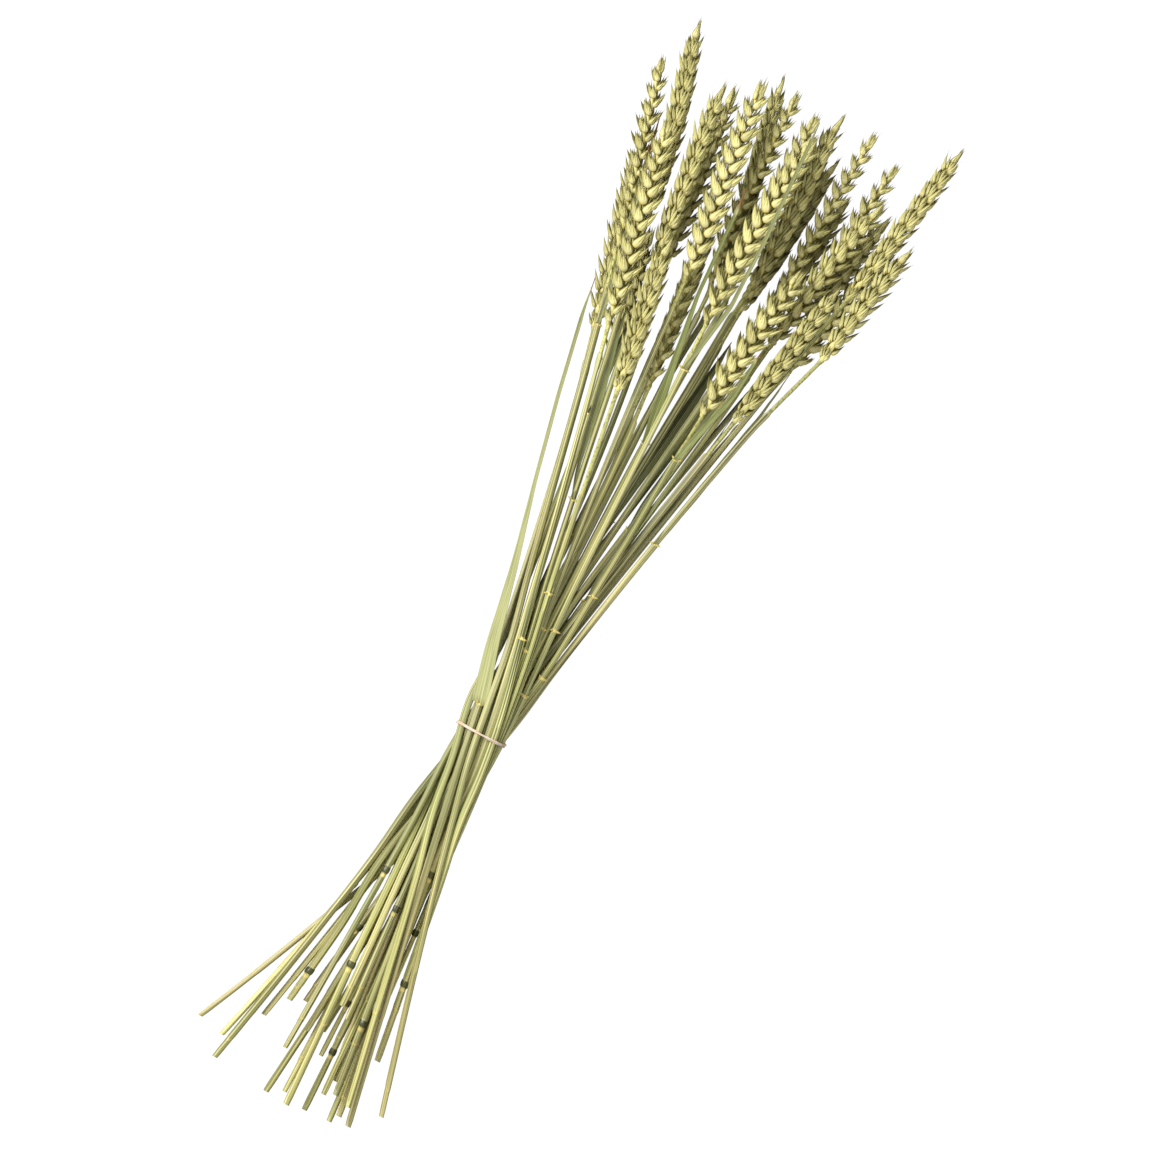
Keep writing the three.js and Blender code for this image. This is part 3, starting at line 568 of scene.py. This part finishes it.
def knot_shape(d, half):
    """Change of radius, dark band and pale rings at a distance d along the straw from a knot's middle.

    The knot is a hump exp(-(d / half)^2) with a groove on its ear side. On its cut side, where d is under 0,
    the culm is thinner for a finger's breadth. The band ends in a logistic step on both sides, and the ring
    beside it is bright on the cut side and faint on the other.
    """
    swelling = KNOT_HEIGHT * bump_at(d, 0, half) - GROOVE_DEPTH * bump_at(d, half + 0.6, 0.6)
    thinner = -WAIST_DEPTH * np.exp((np.minimum(d, -half) + half) / WAIST_LENGTH) * (d < -half)
    band = step_at(-np.abs(d), -half, 0.15)
    rings = np.maximum(0.9 * bump_at(d, -half - 1.5, 1.2), 0.3 * bump_at(d, half + 1.3, 1.0))
    return swelling + thinner, band, rings


def collars_of(number):
    """Where a stem's collars are along the bundle, its own leaf's first."""
    own = [LEAVES[number]["collar"]] if number in LEAVES else []
    return own + [at for stem, at in MOUTHS if stem == number]


def straw_profile(number, rings, settings, draw):
    """Where a straw's rings lie, their radii, where its lowest sheath ends and the masks of its parts.

    The radius is read off the solid. Its steps, at the mouth of the last sheath and past a leaf's collar, are
    logistic curves.
    """
    top = rings[-1, 0] + INTO_EAR
    beside = np.maximum(rings[:-2, 3], rings[2:, 3])
    knots = rings[1:-1][rings[1:-1, 3] > beside + KNOT_RISE, 0]
    fine = np.linspace(-7, 7, 21)
    closing = rings[rings[:, 3] < NECK_AT_MOST, 0][0] - MOUTH_BACK
    lip = rings[0, 0] + draw.uniform(*LIP_RANGE)
    collars = collars_of(number)
    extra = [knot + fine for knot in knots] + [c + fine / 2 for c in collars]
    extra += [closing + fine / 4, lip + fine / 3, [top - 3, top - 2, top - 1, top]]
    x = np.concatenate([np.arange(rings[0, 0], top, settings.step / MM), *extra])
    x = np.unique(np.round(x[(x >= rings[0, 0]) & (x <= top)], 2))
    plain = rings[~np.isin(rings[:, 0], knots)]
    neck = step_at(x, closing, 0.4)
    sheathed = np.where(x > closing - 6, SHEATH_RADIUS, np.interp(x, plain[:, 0], plain[:, 3]))
    radius = sheathed * (1 - neck) + NECK_RADIUS * neck * (1 + 0.05 * np.sin(x))
    radius = radius + 0.3 * bump_at(x, top - 2, 1.0)
    knot, pale = np.zeros_like(x), np.zeros_like(x)
    for at in knots:
        change, band, beside = knot_shape(x - at, settings.knot_half / MM)
        radius = radius + change
        knot = np.maximum(knot, band)
        pale = np.maximum(pale, beside)
    bare = np.zeros_like(x)
    for at in collars:
        pale = np.maximum(pale, bump_at(x, at, 0.9))
        bare = np.maximum(bare, (1 - neck) * step_at(x, at, 0.3))
        radius = radius + 0.22 * bump_at(x, at, 0.7)
    radius = radius - 1.6 * settings.sheath_wall / MM * bare
    return x, radius, lip, {"neck": neck, "knot": knot, "pale": pale, "bare": bare}


def auricles(at, centre, radius, settings, draw):
    """Two small claws at a leaf's collar, each a narrow curved husk shape.

    They start on top of the straw, left and right, and reach out over its sides, each leaning its own way.
    """
    side = np.array([[0, 1.0, 0.0], [0, -1.0, 0.0]])
    root = np.array([at, *centre]) + (side * 0.35 + np.array([0, 0, 0.85])) * radius
    stray = np.column_stack([draw.uniform(-0.5, 0.9, 2), np.zeros(2), draw.uniform(-0.2, 0.6, 2)])
    along = unit(side + stray)
    back = unit(np.array([0, 0, 1.0]) - along * along[:, 2:])
    ways = (along, np.cross(back, along), back)
    sizes = np.column_stack([draw.uniform(1.8, 3.2, 2), np.full((2, 4), [0.65, 0.6, 1.0, 0.0])])
    return husk_surface(root, ways, sizes, np.full(2, 0.5), settings)


def build_straw(number, settings, claws, material):
    """One straw: a tube along the stem's solid, hollow at its cut end, with its sheaths, knots and neck.

    Round a ring at angle q the radius is r (1 + 0.015 cos(5 q + phase)), three times as lobed where a sheath
    covers the culm. Where the sheath's edge overlaps, at an angle that drifts along the straw, it steps up by
    a sheath's wall and falls back as exp(-angle). The culm is bare from its cut to the lowest sheath's lip.
    """
    draw = np.random.default_rng(settings.seed * 100 + number)
    rings, _ = stem_sections(number)
    x, radius, lip, masks = straw_profile(number, rings, settings, draw)
    cut = x[0]
    edge = radius[0] * 0.9
    bore = settings.bore * edge
    # The first rings run up the hollow to the cut, across the cut and over its rim
    x = np.concatenate([[cut + settings.bore_depth / MM, cut + 1, cut, cut, cut + 0.15], x[1:]])
    radius = np.concatenate([[bore, bore, bore, 0.94 * edge, edge], radius[1:]])
    masks = {key: np.concatenate([np.zeros(4), mask]) for key, mask in masks.items()}
    # Painted shade inside the hollow of the cut, darkest deepest in
    masks["bore"] = np.concatenate([[1.0, 1.0, 0.7, 0.15], np.zeros(len(x) - 4)])
    centre = smooth_curve(x, rings[:, 0], rings[:, 1:3])
    sides = 20
    q = np.linspace(0, 2 * np.pi, sides, endpoint=False)
    wall = settings.sheath_wall / MM
    start, drift = draw.uniform(0, WHOLE_TURN), draw.uniform(-0.006, 0.006)
    past_edge = (q - start - drift * x[:, None]) % (2 * np.pi)
    covered = (1 - masks["neck"] - masks["bare"])[:, None]
    ragged = lip + 1.6 * np.sin(q + start) + 0.8 * np.sin(3 * q)
    under = step_at(ragged, x[:, None], 0.25) * (masks["bore"] < 0.1)[:, None]
    lobes = (1 + 2 * covered) * 0.015 * np.cos(5 * q + draw.uniform(0, WHOLE_TURN) + 2 * drift * x[:, None])
    reach = radius[:, None] * (1 + lobes) * (1 + draw.uniform(-0.18, 0.16) * covered)
    reach = reach + wall * covered * ((1 - under) * np.exp(-past_edge) - 0.9 * under)
    y, z = centre[:, :1] + reach * np.cos(q), centre[:, 1:] + reach * np.sin(q)
    points = np.stack([np.repeat(x[:, None], sides, 1), y, z], -1)
    loops, sizes, u, ring = tube(len(x), sides)
    uv = np.stack([u, x[ring] / 100], -1)
    lower = np.interp(x, [-150 + 60 * draw.uniform(), -50 + 30 * draw.uniform()], [0.25, 1])
    masks = {key: np.repeat(mask, sides) for key, mask in masks.items()}
    masks["bare"] = under.ravel()
    masks["pale"] = np.maximum(masks["pale"], 0.7 * bump_at(x[:, None], ragged + 0.5, 0.7).ravel())
    masks["sheath"] = np.repeat(lower, sides)
    masks["edge"] = (covered * np.exp(-past_edge * 2.5)).ravel()
    masks["tone"] = np.full(len(x) * sides, draw.uniform())
    masks["dark"] = np.full(len(x) * sides, draw.uniform())
    points = points.reshape(-1, 3)
    for at in collars_of(number):
        middle = smooth_curve(np.array([float(at)]), rings[:, 0], rings[:, 1:3])[0]
        horns = auricles(at, middle, SHEATH_RADIUS, claws, draw)
        horn_loops, horn_sizes, horn_u, horn_ring = tube(horns.shape[1], horns.shape[2])
        for horn in horns:
            loops = np.concatenate([loops, horn_loops + len(points)])
            sizes = np.concatenate([sizes, horn_sizes])
            uv = np.vstack([uv, np.stack([horn_u, HUSK_RINGS[horn_ring]], -1)])
            points = np.vstack([points, horn.reshape(-1, 3)])
            size = horns.shape[1] * horns.shape[2]
            masks = {key: np.append(mask, np.full(size, float(key == "pale"))) for key, mask in masks.items()}
    node = f"stem_{number:02d}"
    add_piece(f"straw_{number:02d}", points, (loops, sizes), uv, masks, material, node)


def build_blade(number, settings, material):
    """One leaf blade: a thin closed strip along the blade's solid, folded into a shallow trough.

    Across the strip at u from -1 to 1 a point lies half width times u along the section's own direction, and
    fold times half width times (|u|^1.5 - 0.4) up from it, deeper at the collar and with a small ripple. The
    back of the strip is one thickness lower. The half width is never under the least one, which falls off
    over the last tenth of the blade.
    """
    rings, blade = stem_sections(number)
    collar = LEAVES[number]["collar"]
    root = smooth_curve(np.array([float(collar)]), rings[:, 0], rings[:, 1:3])[0] + np.array([0, BLADE_LIFT])
    ways = blade[:, 3:5]
    agree = np.sign((ways[1:] * ways[:-1]).sum(1))
    ways = ways * np.cumprod(np.append(1, agree))[:, None]
    ways = ways if ways[0, 0] > 0 else -ways
    knots = np.append(collar, blade[:, 0])
    centres = np.vstack([root, blade[:, 1:3]])
    halves = np.vstack([ways[0] * LEAVES[number]["root"], ways])
    x = np.append(np.arange(collar, knots[-1], settings.step / MM), knots[-1])
    centre = smooth_curve(x, knots, centres)
    half = smooth_curve(x, knots, halves)
    t = (x - collar) / (knots[-1] - collar)
    least = settings.narrow / MM * np.clip((1 - t) / 0.1, 0.05, 1) ** 0.6
    half = half * np.maximum(1, least / np.linalg.norm(half, axis=1))[:, None]
    half = half * (1 - 0.5 * np.clip((t - 0.9) / 0.1, 0, 1))[:, None]
    size = np.linalg.norm(half, axis=1)
    up = np.stack([-half[:, 1], half[:, 0]], -1) / size[:, None]
    u = np.linspace(-1, 1, 9)
    trough = settings.fold * size[:, None] * (np.abs(u) ** 1.5 - 0.4) * (1 + 0.8 * np.exp(-t[:, None] * 12))
    ripple = 0.12 * np.sin(x[:, None] * 0.35) * np.abs(u) ** 3
    thick = settings.thickness / MM / 2 * (1 - 0.6 * np.abs(u) ** 4)
    face = np.concatenate([trough + ripple - thick, (trough + ripple + thick)[:, ::-1]], 1)
    across = np.concatenate([u, u[::-1]])
    sides = len(across)
    section = centre[:, None] + half[:, None] * across[:, None] + up[:, None] * face[..., None]
    points = np.concatenate([np.repeat(x[:, None, None], sides, 1), section], -1).reshape(-1, 3)
    loops, sizes, _, ring = tube(len(x), sides)
    uv = np.stack([(across[loops % sides] + 1) / 2, t[ring]], -1)
    whole = np.ones(len(points))
    withered = np.clip((t - LEAVES[number]["withered"]) / 0.07, 0, 1)
    # How much painted shade the leaf carries, and how green it still is
    masks = {key: LEAVES[number][key] * whole for key in ("shade", "green")}
    masks |= {"withered": np.repeat(withered, sides), "tone": number / 30 * whole}
    node = f"stem_{number:02d}"
    add_piece(f"blade_{number:02d}", points, (loops, sizes), uv, masks, material, node)


# Tie


def build_tie(settings, material):
    """The elastic: a round cord twice round the bunch inside the solid band, one turn on the other on top.

    The band's outline is read off the solid as its outer corners in order of bearing. The cord's middle runs
    one radius inside it, drawn smooth as a closed curve. Over the two turns it swings aside by a sine of half
    the bearing from the top and sinks by its cosine, so that the turns part at the bottom.
    """
    flat = np.unique(corners("tie")[:, 1:], axis=0)
    middle = (flat.min(0) + flat.max(0)) / 2
    bearing = np.arctan2(flat[:, 1] - middle[1], flat[:, 0] - middle[0])
    reach = np.linalg.norm(flat - middle, axis=1)
    slots = np.round((bearing + np.pi) / (2 * np.pi) * TIE_SIDES - 0.5).astype(int) % TIE_SIDES
    filled = [slots == k for k in range(TIE_SIDES) if (slots == k).any()]
    outline = np.array([flat[slot][reach[slot].argmax()] for slot in filled])
    outline = outline[np.argsort(np.arctan2(*(outline - middle).T[::-1]))]
    radius = settings.radius / MM
    inside = outline - unit(outline - middle) * radius
    closed = np.vstack([inside[-2:], inside, inside[:3]])
    at = np.linspace(2, len(inside) + 2, 180, endpoint=False)
    line = np.tile(smooth_curve(at, np.arange(len(closed), dtype=float), closed), (2, 1))
    turn = np.linspace(0, 4 * np.pi, len(line), endpoint=False)
    outwards = unit(line - middle)
    bearing = np.unwrap(np.arctan2(outwards[:, 1], outwards[:, 0]))
    from_top = (bearing - np.pi / 2) / 2
    x = 0.8 * np.sin(from_top) + 0.15 * np.sin(turn + 0.6) + 0.1 * np.sin(4.5 * turn)
    line = line - outwards * (0.3 * (1 - np.cos(from_top)))[:, None]
    path = np.column_stack([x, line])
    way = unit(np.roll(path, -1, 0) - np.roll(path, 1, 0))
    out = np.column_stack([np.zeros(len(line)), outwards])
    out = unit(out - way * (way * out).sum(1, keepdims=True))
    side = np.cross(way, out)
    q = np.linspace(0, 2 * np.pi, 10, endpoint=False)
    swell = radius * (1 + 0.04 * np.sin(turn * 20))
    circle = np.cos(q)[None, :, None] * out[:, None] + np.sin(q)[None, :, None] * side[:, None]
    cord = path[:, None] + swell[:, None, None] * circle
    many, sides = len(path), len(q)
    loops, sizes, u, ring = tube(many + 1, sides)
    walls = slice(-2 * sides)  # all but the two ends, since the cord's last ring is its first
    uv = np.stack([u[walls], ring[walls] / many], -1)
    faces = (loops[walls] % (many * sides), sizes[:-2])
    masks = {"tone": np.full(many * sides, 0.5)}
    add_piece("elastic", cord.reshape(-1, 3), faces, uv, masks, material, "tie")


# Finishes


class Finish:
    """A material under construction: add() makes a node, sets it and links what it is given."""

    def __init__(self, name):
        self.material = bpy.data.materials.new(name)
        self.material.use_nodes = True
        self.tree = self.material.node_tree
        self.shader = self.tree.nodes["Principled BSDF"]

    def plug(self, socket, value):
        """Link a node or a socket to a socket, or set the socket's value."""
        if isinstance(value, bpy.types.NodeSocket):
            self.tree.links.new(value, socket)
        elif isinstance(value, bpy.types.Node):
            self.tree.links.new(value.outputs[0], socket)
        elif hasattr(socket.default_value, "__len__") and len(socket.default_value) == 4:
            socket.default_value = (*value, 1)
        else:
            socket.default_value = value

    def add(self, kind, *inputs, **settings):
        node = self.tree.nodes.new("ShaderNode" + kind)
        for key, value in settings.items():
            setattr(node, key, value)
        for socket, value in zip(node.inputs, inputs):
            if value is not None:
                self.plug(socket, value)
        return node

    def sum_of(self, a, b):
        return self.add("Math", a, b, operation="ADD")

    def product(self, a, b):
        return self.add("Math", a, b, operation="MULTIPLY")

    def mask(self, name):
        return self.add("Attribute", attribute_name=name).outputs["Fac"]

    def surface(self):
        """The piece's own UV map as u and v."""
        parts = self.add("SeparateXYZ", self.add("UVMap", uv_map="surface"))
        return parts.outputs[0], parts.outputs[1]

    def waves(self, value, times):
        """0.5 + 0.5 sin(2 pi times value)."""
        swing = self.add("Math", self.product(value, 2 * np.pi * times), operation="SINE")
        return self.add("Math", swing, 0.5, 0.5, operation="MULTIPLY_ADD")

    def noise(self, scale, detail=3.0, vector=None):
        """Noise in the piece's own space, or in that of a vector."""
        vector = vector or self.add("TexCoord").outputs["Object"]
        node = self.add("TexNoise", vector)
        node.inputs["Scale"].default_value = scale
        node.inputs["Detail"].default_value = detail
        return node.outputs[0]

    def between(self, value, low, high, to_low=0.0, to_high=1.0):
        """value from low to high becomes to_low to to_high, smoothly and held past both."""
        return self.add("MapRange", value, low, high, to_low, to_high, interpolation_type="SMOOTHSTEP")

    def blend(self, share, first, second):
        """The first colour, with a share of the second."""
        node = self.add("Mix", data_type="RGBA")
        self.plug(node.inputs["Factor"], share)
        self.plug(node.inputs[6], first)
        self.plug(node.inputs[7], second)
        return node.outputs[2]

    def around(self, u, v, across, along, offset):
        """Noise on the surface of a straw: the ring is a circle in noise space, so it has no seam."""
        angle = self.product(u, 2 * np.pi)
        x = self.product(self.add("Math", angle, operation="COSINE"), across)
        y = self.product(self.add("Math", angle, operation="SINE"), across)
        z = self.sum_of(self.product(v, along), self.product(offset, 40.0))
        return self.noise(1.0, 1.0, self.add("CombineXYZ", x, y, z))

    def brighten(self, value, share):
        """The colour times a share, where 1 leaves it as it is."""
        return self.add("HueSaturation", 0.5, 1.0, share, 1.0, value)

    def bump(self, height, depth, strength=1.0):
        node = self.add("Bump")
        node.inputs["Strength"].default_value = strength
        node.inputs["Distance"].default_value = depth * MM
        self.plug(node.inputs["Height"], height)
        return node

    def finish(self, base, roughness, bump, specular=0.2):
        self.plug(self.shader.inputs["Base Color"], base)
        self.plug(self.shader.inputs["Roughness"], roughness)
        self.plug(self.shader.inputs["Normal"], bump)
        self.shader.inputs["Specular IOR Level"].default_value = specular
        return self.material


def husk_finish(settings):
    """Dry husk: a shiny pale belly that turns papery, veined and green towards the tip, its margins and inner
    side darkened, partly their own green and partly painted shade.
    """
    f = Finish("dry_husk")
    u, v = f.surface()
    tone, belly = f.mask("tone"), f.mask("belly")
    cloud = f.noise(300.0)
    place = f.sum_of(v, f.between(cloud, 0.3, 0.7, -0.1, 0.1))
    base = f.blend(f.between(place, 0.45, 0.95), settings.flank, settings.point)
    veins = f.between(f.waves(u, 8), 0.55, 0.95)
    base = f.blend(f.product(veins, f.between(v, 0.2, 0.6, 0.06, 0.7)), base, settings.vein_and_shade)
    swollen = f.product(f.between(place, 0.5, 0.2), belly)
    base = f.blend(swollen, base, settings.belly)
    base = f.blend(f.between(place, 0.22, 0.08, 0.0, 0.8), base, settings.seat)
    # Painted shade with the margins' own green: away from the keel, over the margins and the inner side, the
    # husk is darkened towards the vein colour
    facing = f.add("Math", f.product(u, 2 * np.pi), operation="COSINE")
    base = f.blend(f.between(facing, 0.38, -0.2, 0.0, 0.75), base, settings.vein_and_shade)
    base = f.blend(f.between(f.noise(60.0), 0.45, 0.75, 0.0, 0.35), base, settings.vein_and_shade)
    base = f.brighten(base, f.between(tone, 0.0, 1.0, 0.95, 1.13))
    ribs = f.sum_of(f.product(f.waves(u, 8), f.between(v, 0.15, 0.5)), f.product(cloud, 0.5))
    rough = f.between(v, 0.2, 0.6, 0.42, 0.62)
    return f.finish(base, rough, f.bump(ribs, 0.3, 0.9))


def straw_finish(settings):
    """Dry straw: veined, creased sheaths with a dark edge, yellow bare culm, dark knots, pale rings, painted
    shade inside the cut hollow.
    """
    f = Finish("dry_straw")
    u, v = f.surface()
    tone, dark, bare = f.mask("tone"), f.mask("dark"), f.mask("bare")
    broad = f.around(u, v, 0.8, 0.9, tone)
    streaks = f.around(u, v, 2.2, 0.7, dark)
    patches = f.noise(14.0, 2.0)
    covered = f.add("Math", f.mask("sheath"), bare, operation="SUBTRACT", use_clamp=True)
    base = f.blend(covered, settings.culm, settings.sheath)
    base = f.blend(f.between(tone, 0.15, 0.5, 0.7, 0.0), base, settings.green)
    lower = f.between(f.mask("sheath"), 0.25, 1.0, 1.0, 0.3)
    base = f.blend(f.product(f.between(tone, 0.65, 0.8, 0.0, 0.85), lower), base, settings.tan)
    base = f.blend(f.between(broad, 0.46, 0.52, 0.0, 0.6), base, settings.green)
    base = f.blend(f.between(patches, 0.45, 0.7, 0.0, 0.3), base, settings.tan)
    base = f.blend(f.between(streaks, 0.52, 0.57, 0.0, 0.48), base, settings.culm)
    base = f.blend(f.between(streaks, 0.44, 0.34, 0.0, 0.6), base, settings.knot)
    level = f.around(u, v, 1.3, 0.25, f.sum_of(tone, 0.5))
    fold = f.add("Math", f.sum_of(level, -0.5), operation="ABSOLUTE")
    upper = f.between(f.mask("sheath"), 0.3, 1.0, 0.3, 1.0)
    creases = f.product(f.between(fold, 0.01, 0.05, 1.0, 0.0), upper)
    base = f.blend(creases, base, settings.knot)
    base = f.blend(f.mask("neck"), base, settings.neck)
    flecks = f.product(f.between(f.noise(700.0), 0.52, 0.62), f.between(f.mask("neck"), 0.4, 0.9, 0.0, 0.6))
    base = f.blend(flecks, base, settings.knot)
    base = f.blend(f.between(f.mask("edge"), 0.35, 0.9, 0.0, 0.75), base, settings.knot)
    base = f.blend(f.between(f.mask("pale"), 0.2, 0.8, 0.0, 0.9), base, settings.ring)
    base = f.blend(f.between(f.mask("knot"), 0.3, 0.7), base, settings.knot)
    # Painted shade: the inside of the cut straw's hollow darkened towards the knot colour
    base = f.blend(f.product(f.mask("bore"), 0.85), base, settings.knot)
    lines = f.between(f.around(u, v, 2.2, 0.4, tone), 0.42, 0.58)
    veins = f.product(f.waves(u, 18), upper)
    shine = f.sum_of(f.product(lines, 0.34), f.product(veins, 0.14))
    base = f.brighten(base, f.sum_of(f.between(dark, 0.0, 1.0, 0.54, 0.85), shine))
    ribs = f.sum_of(f.product(f.sum_of(lines, veins), 0.6), streaks)
    rough = f.between(f.mask("sheath"), 0.3, 1.0, 0.34, 0.5)
    return f.finish(base, rough, f.bump(ribs, 0.15, 0.5), 0.4)


def blade_finish(settings):
    """Dry leaf: parallel veins, a pale midrib, painted shade over one side of some leaves, dark streaks, a
    withered tip.
    """
    f = Finish("dry_leaf")
    u, v = f.surface()
    stretched = f.add("CombineXYZ", f.product(u, 9.0), f.product(v, 5.0), f.product(f.mask("tone"), 40.0))
    streaks = f.noise(1.5, 4.0, stretched)
    base = f.blend(f.mask("green"), settings.face, settings.green)
    # Painted shade: one side of the leaf darkened towards the shade colour, by the leaf's own share of shade
    base = f.blend(f.product(f.between(u, 0.35, 0.65, 0.4, 1.0), f.mask("shade")), base, settings.shade)
    veins = f.waves(u, 6.5)
    middle = f.add("Math", f.sum_of(u, -0.5), operation="ABSOLUTE")
    base = f.blend(f.product(f.between(veins, 0.5, 1.0), 0.4), base, settings.rib)
    base = f.blend(f.between(middle, 0.0, 0.05, 0.6, 0.0), base, settings.rib)
    # Dark streaks along the leaf, its own mottling, in the same dark colour
    base = f.blend(f.between(streaks, 0.45, 0.7, 0.0, 0.45), base, settings.shade)
    dying = f.sum_of(f.mask("withered"), f.between(streaks, 0.3, 0.7, -0.25, 0.25))
    base = f.blend(f.between(f.mask("withered"), 0.02, 0.4, 0.0, 0.8), base, settings.rib)
    base = f.blend(f.between(dying, 0.45, 0.8), base, settings.tip)
    ribs = f.sum_of(veins, f.product(streaks, 0.6))
    return f.finish(base, 0.5, f.bump(ribs, 0.12, 0.6))


def tie_finish(settings):
    """Matt elastic with a fine weave round it."""
    f = Finish("beige_elastic")
    u, v = f.surface()
    strands = [f.waves(f.sum_of(u, f.product(v, slant)), 2) for slant in (60.0, -60.0)]
    weave = f.product(*strands)
    worn = f.between(f.noise(180.0), 0.4, 0.7, 0.0, 0.25)
    base = f.brighten(f.blend(worn, settings.band, (1, 1, 1)), f.between(weave, 0.0, 1.0, 0.85, 1.02))
    return f.finish(base, 0.65, f.bump(weave, 0.1, 0.6), 0.25)


# Operators


class WHEAT_OT_ears(bpy.types.Operator):
    """Build the husks of every ear"""

    bl_idname = "wheat.ears"
    bl_label = "Ears"

    def execute(self, context):
        settings = context.scene.wheat_ears
        material = husk_finish(settings)
        for number in range(1, COUNT + 1):
            build_ear(number, settings, material)
        return {"FINISHED"}


class WHEAT_OT_straw(bpy.types.Operator):
    """Build every straw with its sheath, knots and cut end"""

    bl_idname = "wheat.straw"
    bl_label = "Straw"

    def execute(self, context):
        settings = context.scene.wheat_straw
        material = straw_finish(settings)
        for number in range(1, COUNT + 1):
            build_straw(number, settings, context.scene.wheat_ears, material)
        return {"FINISHED"}


class WHEAT_OT_blades(bpy.types.Operator):
    """Build the leaf blades"""

    bl_idname = "wheat.blades"
    bl_label = "Leaf blades"

    def execute(self, context):
        settings = context.scene.wheat_leaves
        material = blade_finish(settings)
        for number in LEAVES:
            build_blade(number, settings, material)
        return {"FINISHED"}


class WHEAT_OT_tie(bpy.types.Operator):
    """Build the elastic round the waist"""

    bl_idname = "wheat.tie"
    bl_label = "Tie"

    def execute(self, context):
        settings = context.scene.wheat_tie
        build_tie(settings, tie_finish(settings))
        return {"FINISHED"}


class WHEAT_OT_stage(bpy.types.Operator):
    """Lay the floor, light it and aim the camera"""

    bl_idname = "wheat.stage"
    bl_label = "Stage"

    def execute(self, context):
        settings = context.scene.wheat_stage
        scene = context.scene
        half = FLOOR_HALF
        rim = [(-half, -half, 0), (half, -half, 0), (half, half, 0), (-half, half, 0)]
        mesh = bpy.data.meshes.new("floor")
        mesh.from_pydata(rim, [], [(0, 1, 2, 3)])
        paint = Finish("pale_floor")
        looks = {"Base Color": (*settings.floor, 1), "Roughness": 0.9, "Specular IOR Level": 0.1}
        for name, value in {**looks, "Emission Color": (1, 1, 1, 1)}.items():
            paint.shader.inputs[name].default_value = value
        seen = paint.add("LightPath").outputs["Is Camera Ray"]
        paint.plug(paint.shader.inputs["Emission Strength"], paint.product(seen, settings.glow))
        mesh.materials.append(paint.material)
        floor = bpy.data.objects.new("floor", mesh)
        scene.collection.objects.link(floor)

        world = bpy.data.worlds.new("studio")
        world.use_nodes = True
        world.node_tree.nodes["Background"].inputs["Color"].default_value = (1, 1, 1, 1)
        world.node_tree.nodes["Background"].inputs["Strength"].default_value = settings.sky
        scene.world = world

        lamp = bpy.data.lights.new("soft_key", "AREA")
        lamp.shape = "DISK"
        lamp.size = KEY_SIZE
        lamp.energy = settings.key_power
        key = bpy.data.objects.new("soft_key", lamp)
        key.location = KEY_PLACE
        key.rotation_euler = KEY_TURN
        scene.collection.objects.link(key)

        lens = bpy.data.cameras.new("camera")
        lens.lens = lens.sensor_width * settings.distance / settings.view_width
        camera = bpy.data.objects.new("camera", lens)
        x, y, z = settings.middle
        camera.location = (x, y, z + settings.distance)
        camera.rotation_euler = (0, 0, settings.turn)
        scene.collection.objects.link(camera)
        scene.camera = camera
        scene.view_settings.view_transform = "Standard"
        return {"FINISHED"}


OPERATORS = (WHEAT_OT_ears, WHEAT_OT_straw, WHEAT_OT_blades, WHEAT_OT_tie, WHEAT_OT_stage)
SETTINGS = {
    "wheat_ears": WheatEarSettings,
    "wheat_straw": WheatStrawSettings,
    "wheat_leaves": WheatLeafSettings,
    "wheat_tie": WheatTieSettings,
    "wheat_stage": WheatStageSettings,
}


class WHEAT_PT_bundle(bpy.types.Panel):
    """Lists the bundle's pieces, each with its sizes and colours"""

    bl_label = "Dried wheat bundle"
    bl_idname = "WHEAT_PT_bundle"
    bl_space_type = "VIEW_3D"
    bl_region_type = "UI"
    bl_category = "Wheat"

    def draw(self, context):
        for operator, name in zip(OPERATORS, SETTINGS):
            part = self.layout.box()
            part.operator(operator.bl_idname)
            group = getattr(context.scene, name)
            for key in group.bl_rna.properties.keys():
                if key not in {"rna_type", "name"}:
                    part.prop(group, key)


def register():
    for kind in (*SETTINGS.values(), *OPERATORS, WHEAT_PT_bundle):
        bpy.utils.register_class(kind)
    for name, kind in SETTINGS.items():
        setattr(bpy.types.Scene, name, PointerProperty(type=kind))


def unregister():
    for name in SETTINGS:
        delattr(bpy.types.Scene, name)
    for kind in reversed((*SETTINGS.values(), *OPERATORS, WHEAT_PT_bundle)):
        bpy.utils.unregister_class(kind)


def main():
    register()
    bpy.ops.wheat.ears()
    bpy.ops.wheat.straw()
    bpy.ops.wheat.blades()
    bpy.ops.wheat.tie()
    bpy.ops.wheat.stage()


if __name__ == "__main__":
    main()
